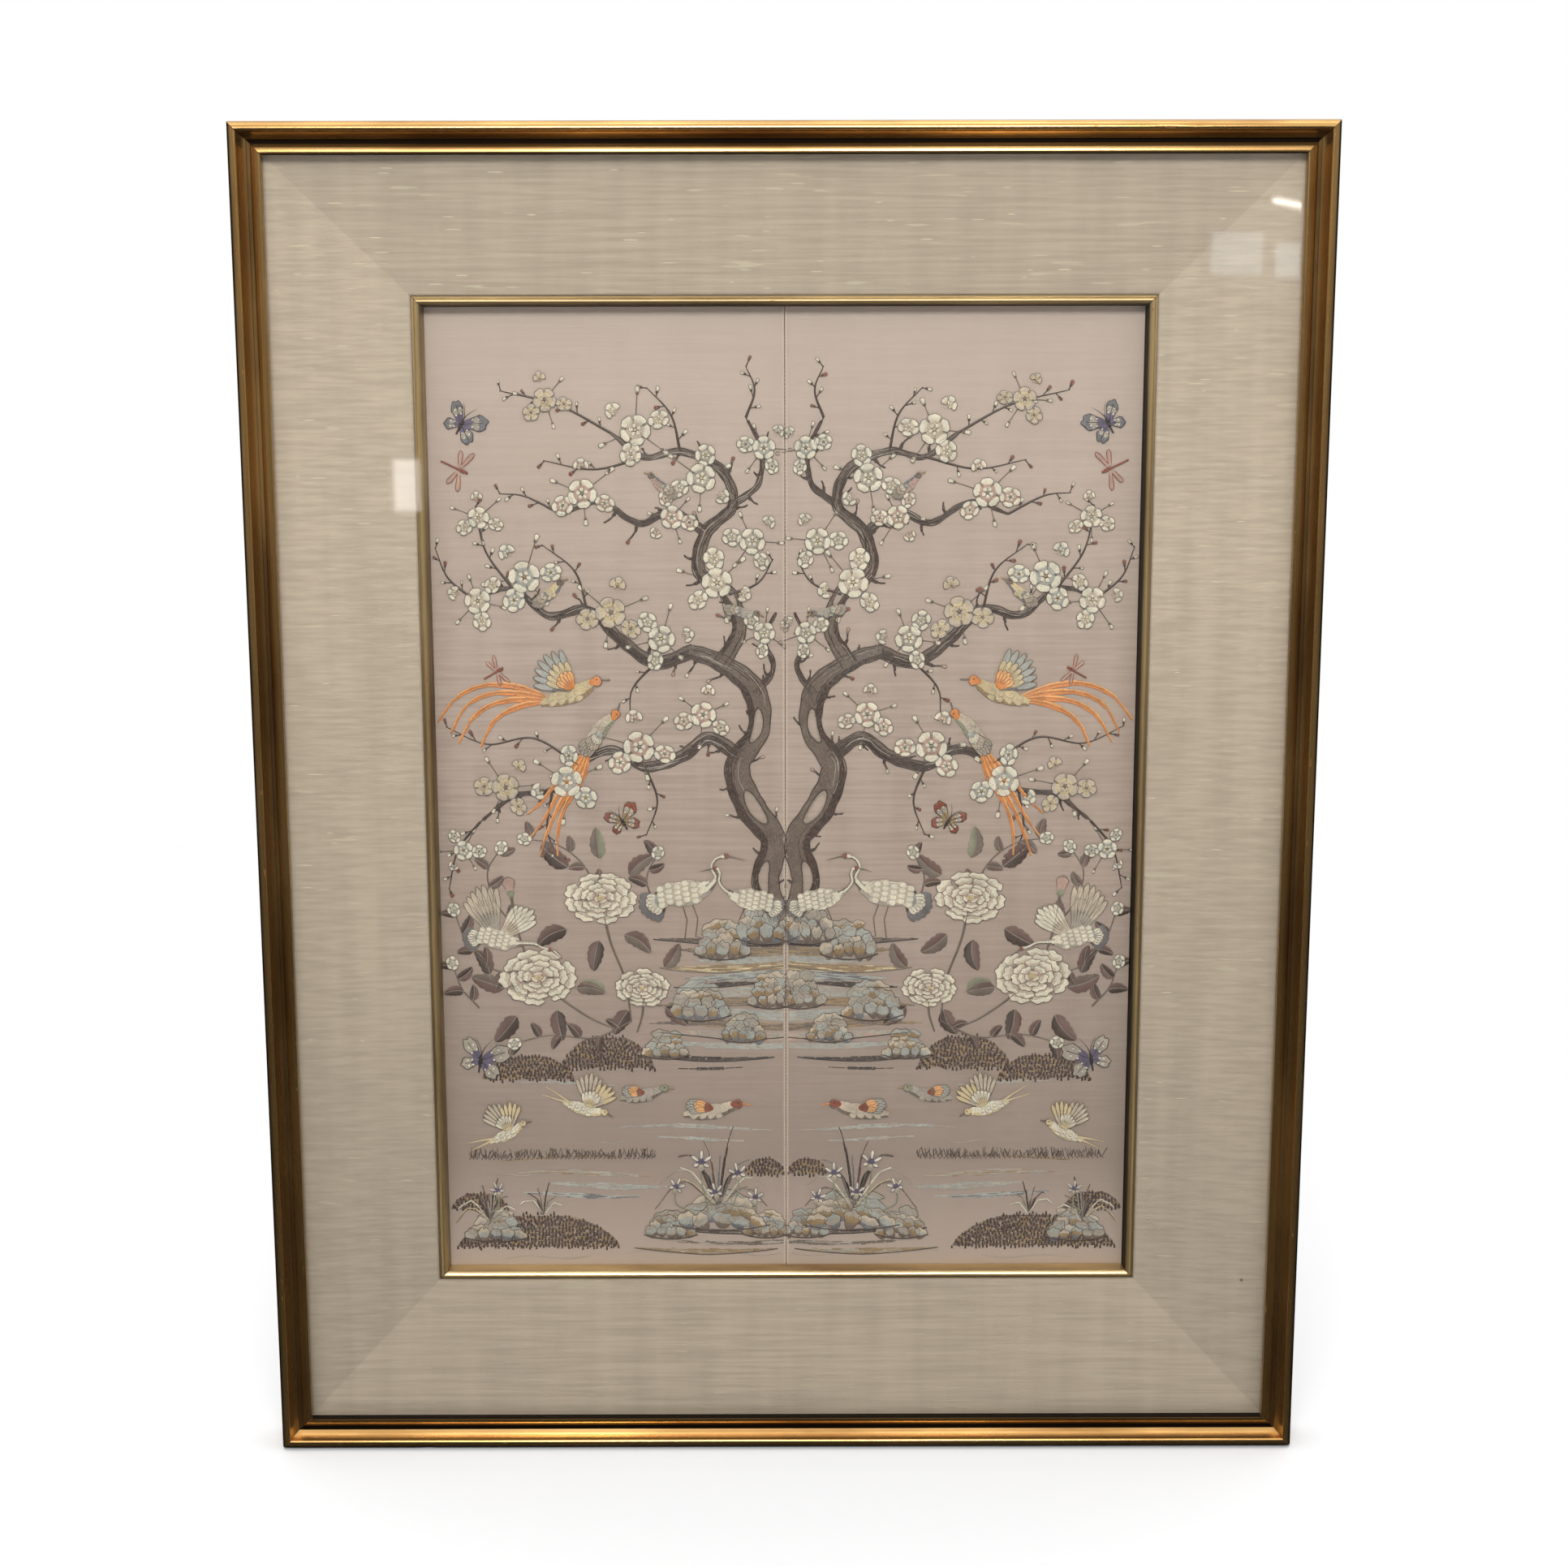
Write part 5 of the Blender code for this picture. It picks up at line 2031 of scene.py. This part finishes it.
def soft_light(name, place, target, size, power, colour=(1, 1, 1)):
    """A rectangular light that the camera doesn't see."""
    lamp = bpy.data.lights.new(name, "AREA")
    lamp.shape = "RECTANGLE"
    lamp.size, lamp.size_y = size
    lamp.energy = power
    lamp.color = colour
    holder = scene_object(name, lamp)
    holder.location = place
    away = Vector(target) - Vector(place)
    holder.rotation_euler = away.to_track_quat("-Z", "Y").to_euler()
    holder.visible_camera = False
    return holder


# Brightness of the room from straight down, 0, to straight up, 1
SKY_LEVELS = ((0.0, 0.02), (0.45, 0.03), (0.60, 0.10), (0.72, 0.55), (0.85, 1.2), (1.0, 1.5))


def make_world():
    """White to the eye, and dim in reflections and as fill light."""
    world = bpy.data.worlds.new("studio")
    world.use_nodes = True
    bpy.context.scene.world = world
    tree = world.node_tree
    tree.nodes.clear()
    seen = add_node(tree, "Background", {"Color": (1, 1, 1, 1), "Strength": 1.0})
    direction = add_node(tree, "TexCoord").outputs["Generated"]
    height, beside = axis(direction, "Z"), maths("ABSOLUTE", axis(direction, "X"))
    above = curved(remap(height, -1.0, 1.0), SKY_LEVELS)
    strength = total(above, product(beside, remap(height, -0.25, 0.30, 0.0, 0.50)))
    lit = add_node(tree, "Background", {"Color": (1.0, 0.975, 0.93, 1), "Strength": strength})
    eye = add_node(tree, "LightPath").outputs["Is Camera Ray"]
    both = add_node(tree, "MixShader", {0: eye, 1: lit.outputs[0], 2: seen.outputs[0]})
    add_node(tree, "OutputWorld", {"Surface": both.outputs[0]})


FLOOR_REACH = 6.0
FLOOR_GAP = 0.001  # the panel stands this far above the floor

# What the glass mirrors: soft cards that stand in front, at place x and z
CARD_DISTANCE = 2.2
Card = namedtuple("Card", "name x z size lean power colour")
CARDS = (
    Card("window", 0.740, 0.524, (0.083, 0.066), 0, 0.028, (0.74, 0.90, 1.0)),
    Card("window edge", 0.825, 0.513, (0.045, 0.053), 0, 0.015, (0.74, 0.90, 1.0)),
    Card("lamp", 0.825, 0.602, (0.059, 0.008), 12, 0.022, (1.0, 0.95, 0.86)),
    Card("doorway", -0.620, 0.153, (0.043, 0.085), 0, 0.050, (1.0, 0.96, 0.92)),
)

# The camera stands and looks a hair off the middle.
EYE_ASIDE = -0.003
EYE_TURN = radians(-0.08)


def make_floor():
    """A pale floor that ends behind the panel, where the white room takes over."""
    own = settings().stage
    mesh = bpy.data.meshes.new("floor")
    corners = [
        (x * FLOOR_REACH, y, FRAME.bottom - FLOOR_GAP)
        for y in (-FLOOR_REACH, own.floor_behind) for x in (-1, 1)
    ]
    mesh.from_pydata(corners, [], [(0, 1, 3, 2)])
    mesh.materials.append(
        new_material("pale_floor", Roughness=0.9, Base_Color=opaque(own.floor))[0]
    )
    floor = scene_object("floor", mesh)
    floor.visible_glossy = False


def make_lights():
    """A key light, a little light from above, a lit floor and the cards in front."""
    soft_light("key", (-0.08, -2.2, 1.5), (0, 0, 0.05), (1.2, 0.6), 50)
    soft_light("overhead", (0.0, -0.35, 1.9), (0, 0, 0), (1.6, 0.5), 6)
    behind = soft_light("floor light", (0.0, 2.8, 2.6), (0, 2.81, -0.5), (7.0, 4.0), 34)
    behind.data.spread = radians(110)
    for card in CARDS:
        place, target = (card.x, -CARD_DISTANCE, card.z), (card.x, 0, card.z)
        light = soft_light(card.name, place, target, card.size, card.power, card.colour)
        light.rotation_euler.rotate_axis("Z", radians(-card.lean))


def make_camera():
    """The camera, a little above the panel's middle and looking down."""
    own = settings().stage
    lens = bpy.data.cameras.new("camera")
    lens.lens = own.lens
    camera = scene_object("camera", lens)
    camera.location = (EYE_ASIDE, -own.distance, own.eye_height)
    turn = Matrix.Rotation(EYE_TURN, 3, "Z")
    tilt = Matrix.Rotation(pi / 2 - own.pitch, 3, "X")
    roll = Matrix.Rotation(own.roll, 3, "Z")
    camera.rotation_euler = (turn @ tilt @ roll).to_euler()
    bpy.context.scene.camera = camera


def make_stage():
    """Pale floor, soft lights and the camera."""
    make_floor()
    make_world()
    make_lights()
    make_camera()
    bpy.context.scene.view_settings.view_transform = "Standard"


# ---------------------------------------------------------------- operators


class FRAMED_SILK_OT_stage(Operator):
    """Set the floor, the lights and the camera"""

    bl_idname = "framed_silk.stage"
    bl_label = "Stage"
    bl_options = {"REGISTER", "UNDO"}

    def execute(self, context):
        make_stage()
        return {"FINISHED"}


class FRAMED_SILK_OT_moulding(Operator):
    """Make the gilt moulding"""

    bl_idname = "framed_silk.moulding"
    bl_label = "Moulding"
    bl_options = {"REGISTER", "UNDO"}

    def execute(self, context):
        make_moulding()
        return {"FINISHED"}


class FRAMED_SILK_OT_fillet(Operator):
    """Make the gilt fillet"""

    bl_idname = "framed_silk.fillet"
    bl_label = "Fillet"
    bl_options = {"REGISTER", "UNDO"}

    def execute(self, context):
        make_fillet()
        return {"FINISHED"}


class FRAMED_SILK_OT_glazing(Operator):
    """Finish the glass and the backing board"""

    bl_idname = "framed_silk.glazing"
    bl_label = "Glass and backing"
    bl_options = {"REGISTER", "UNDO"}

    def execute(self, context):
        dress_node("glass", glass_material())
        dress_node("backing_board", board_material())
        return {"FINISHED"}


class FRAMED_SILK_OT_liner(Operator):
    """Wrap the liner in raw silk"""

    bl_idname = "framed_silk.liner"
    bl_label = "Liner"
    bl_options = {"REGISTER", "UNDO"}

    def execute(self, context):
        make_liner()
        return {"FINISHED"}


class FRAMED_SILK_OT_embroidery(Operator):
    """Work one group of motifs on both panels"""

    bl_idname = "framed_silk.embroidery"
    bl_label = "Embroidery"
    bl_options = {"REGISTER", "UNDO"}

    design: EnumProperty(
        name="Design",
        description="Group of motifs to work",
        items=[(name, name.title(), worker.__doc__) for name, worker in DESIGNS.items()],
    )

    def execute(self, context):
        embroider(self.design)
        return {"FINISHED"}


class FRAMED_SILK_OT_silk(Operator):
    """Lay the two silk panels under their embroidery and sew the seam"""

    bl_idname = "framed_silk.silk"
    bl_label = "Silk panels"
    bl_options = {"REGISTER", "UNDO"}

    def execute(self, context):
        make_silk()
        return {"FINISHED"}


class FRAMED_SILK_PT_panel(Panel):
    """Lists the steps that dress the panel."""

    bl_label = "Framed Silk Embroidery"
    bl_space_type = "VIEW_3D"
    bl_region_type = "UI"
    bl_category = "Silk Panel"

    def draw(self, context):
        column = self.layout.column()
        for step in ("stage", "moulding", "fillet", "glazing", "liner"):
            column.operator(f"framed_silk.{step}")
        for name in DESIGNS:
            label = f"Embroider {name}"
            column.operator("framed_silk.embroidery", text=label).design = name
        column.operator("framed_silk.silk")


CLASSES = (
    GiltSettings, LinerSettings, SilkSettings, ThreadColours, StitchSettings, StageSettings,
    PanelSettings, FRAMED_SILK_OT_stage, FRAMED_SILK_OT_moulding, FRAMED_SILK_OT_fillet,
    FRAMED_SILK_OT_glazing, FRAMED_SILK_OT_liner, FRAMED_SILK_OT_embroidery,
    FRAMED_SILK_OT_silk, FRAMED_SILK_PT_panel,
)


def register():
    for item in CLASSES:
        bpy.utils.register_class(item)
    bpy.types.Scene.framed_silk = PointerProperty(type=PanelSettings)


def unregister():
    del bpy.types.Scene.framed_silk
    for item in reversed(CLASSES):
        bpy.utils.unregister_class(item)


def main():
    register()
    steps = bpy.ops.framed_silk
    steps.stage()
    steps.moulding()
    steps.fillet()
    steps.glazing()
    steps.liner()
    for design in DESIGNS:
        steps.embroidery(design=design)
    steps.silk()


if __name__ == "__main__":
    main()
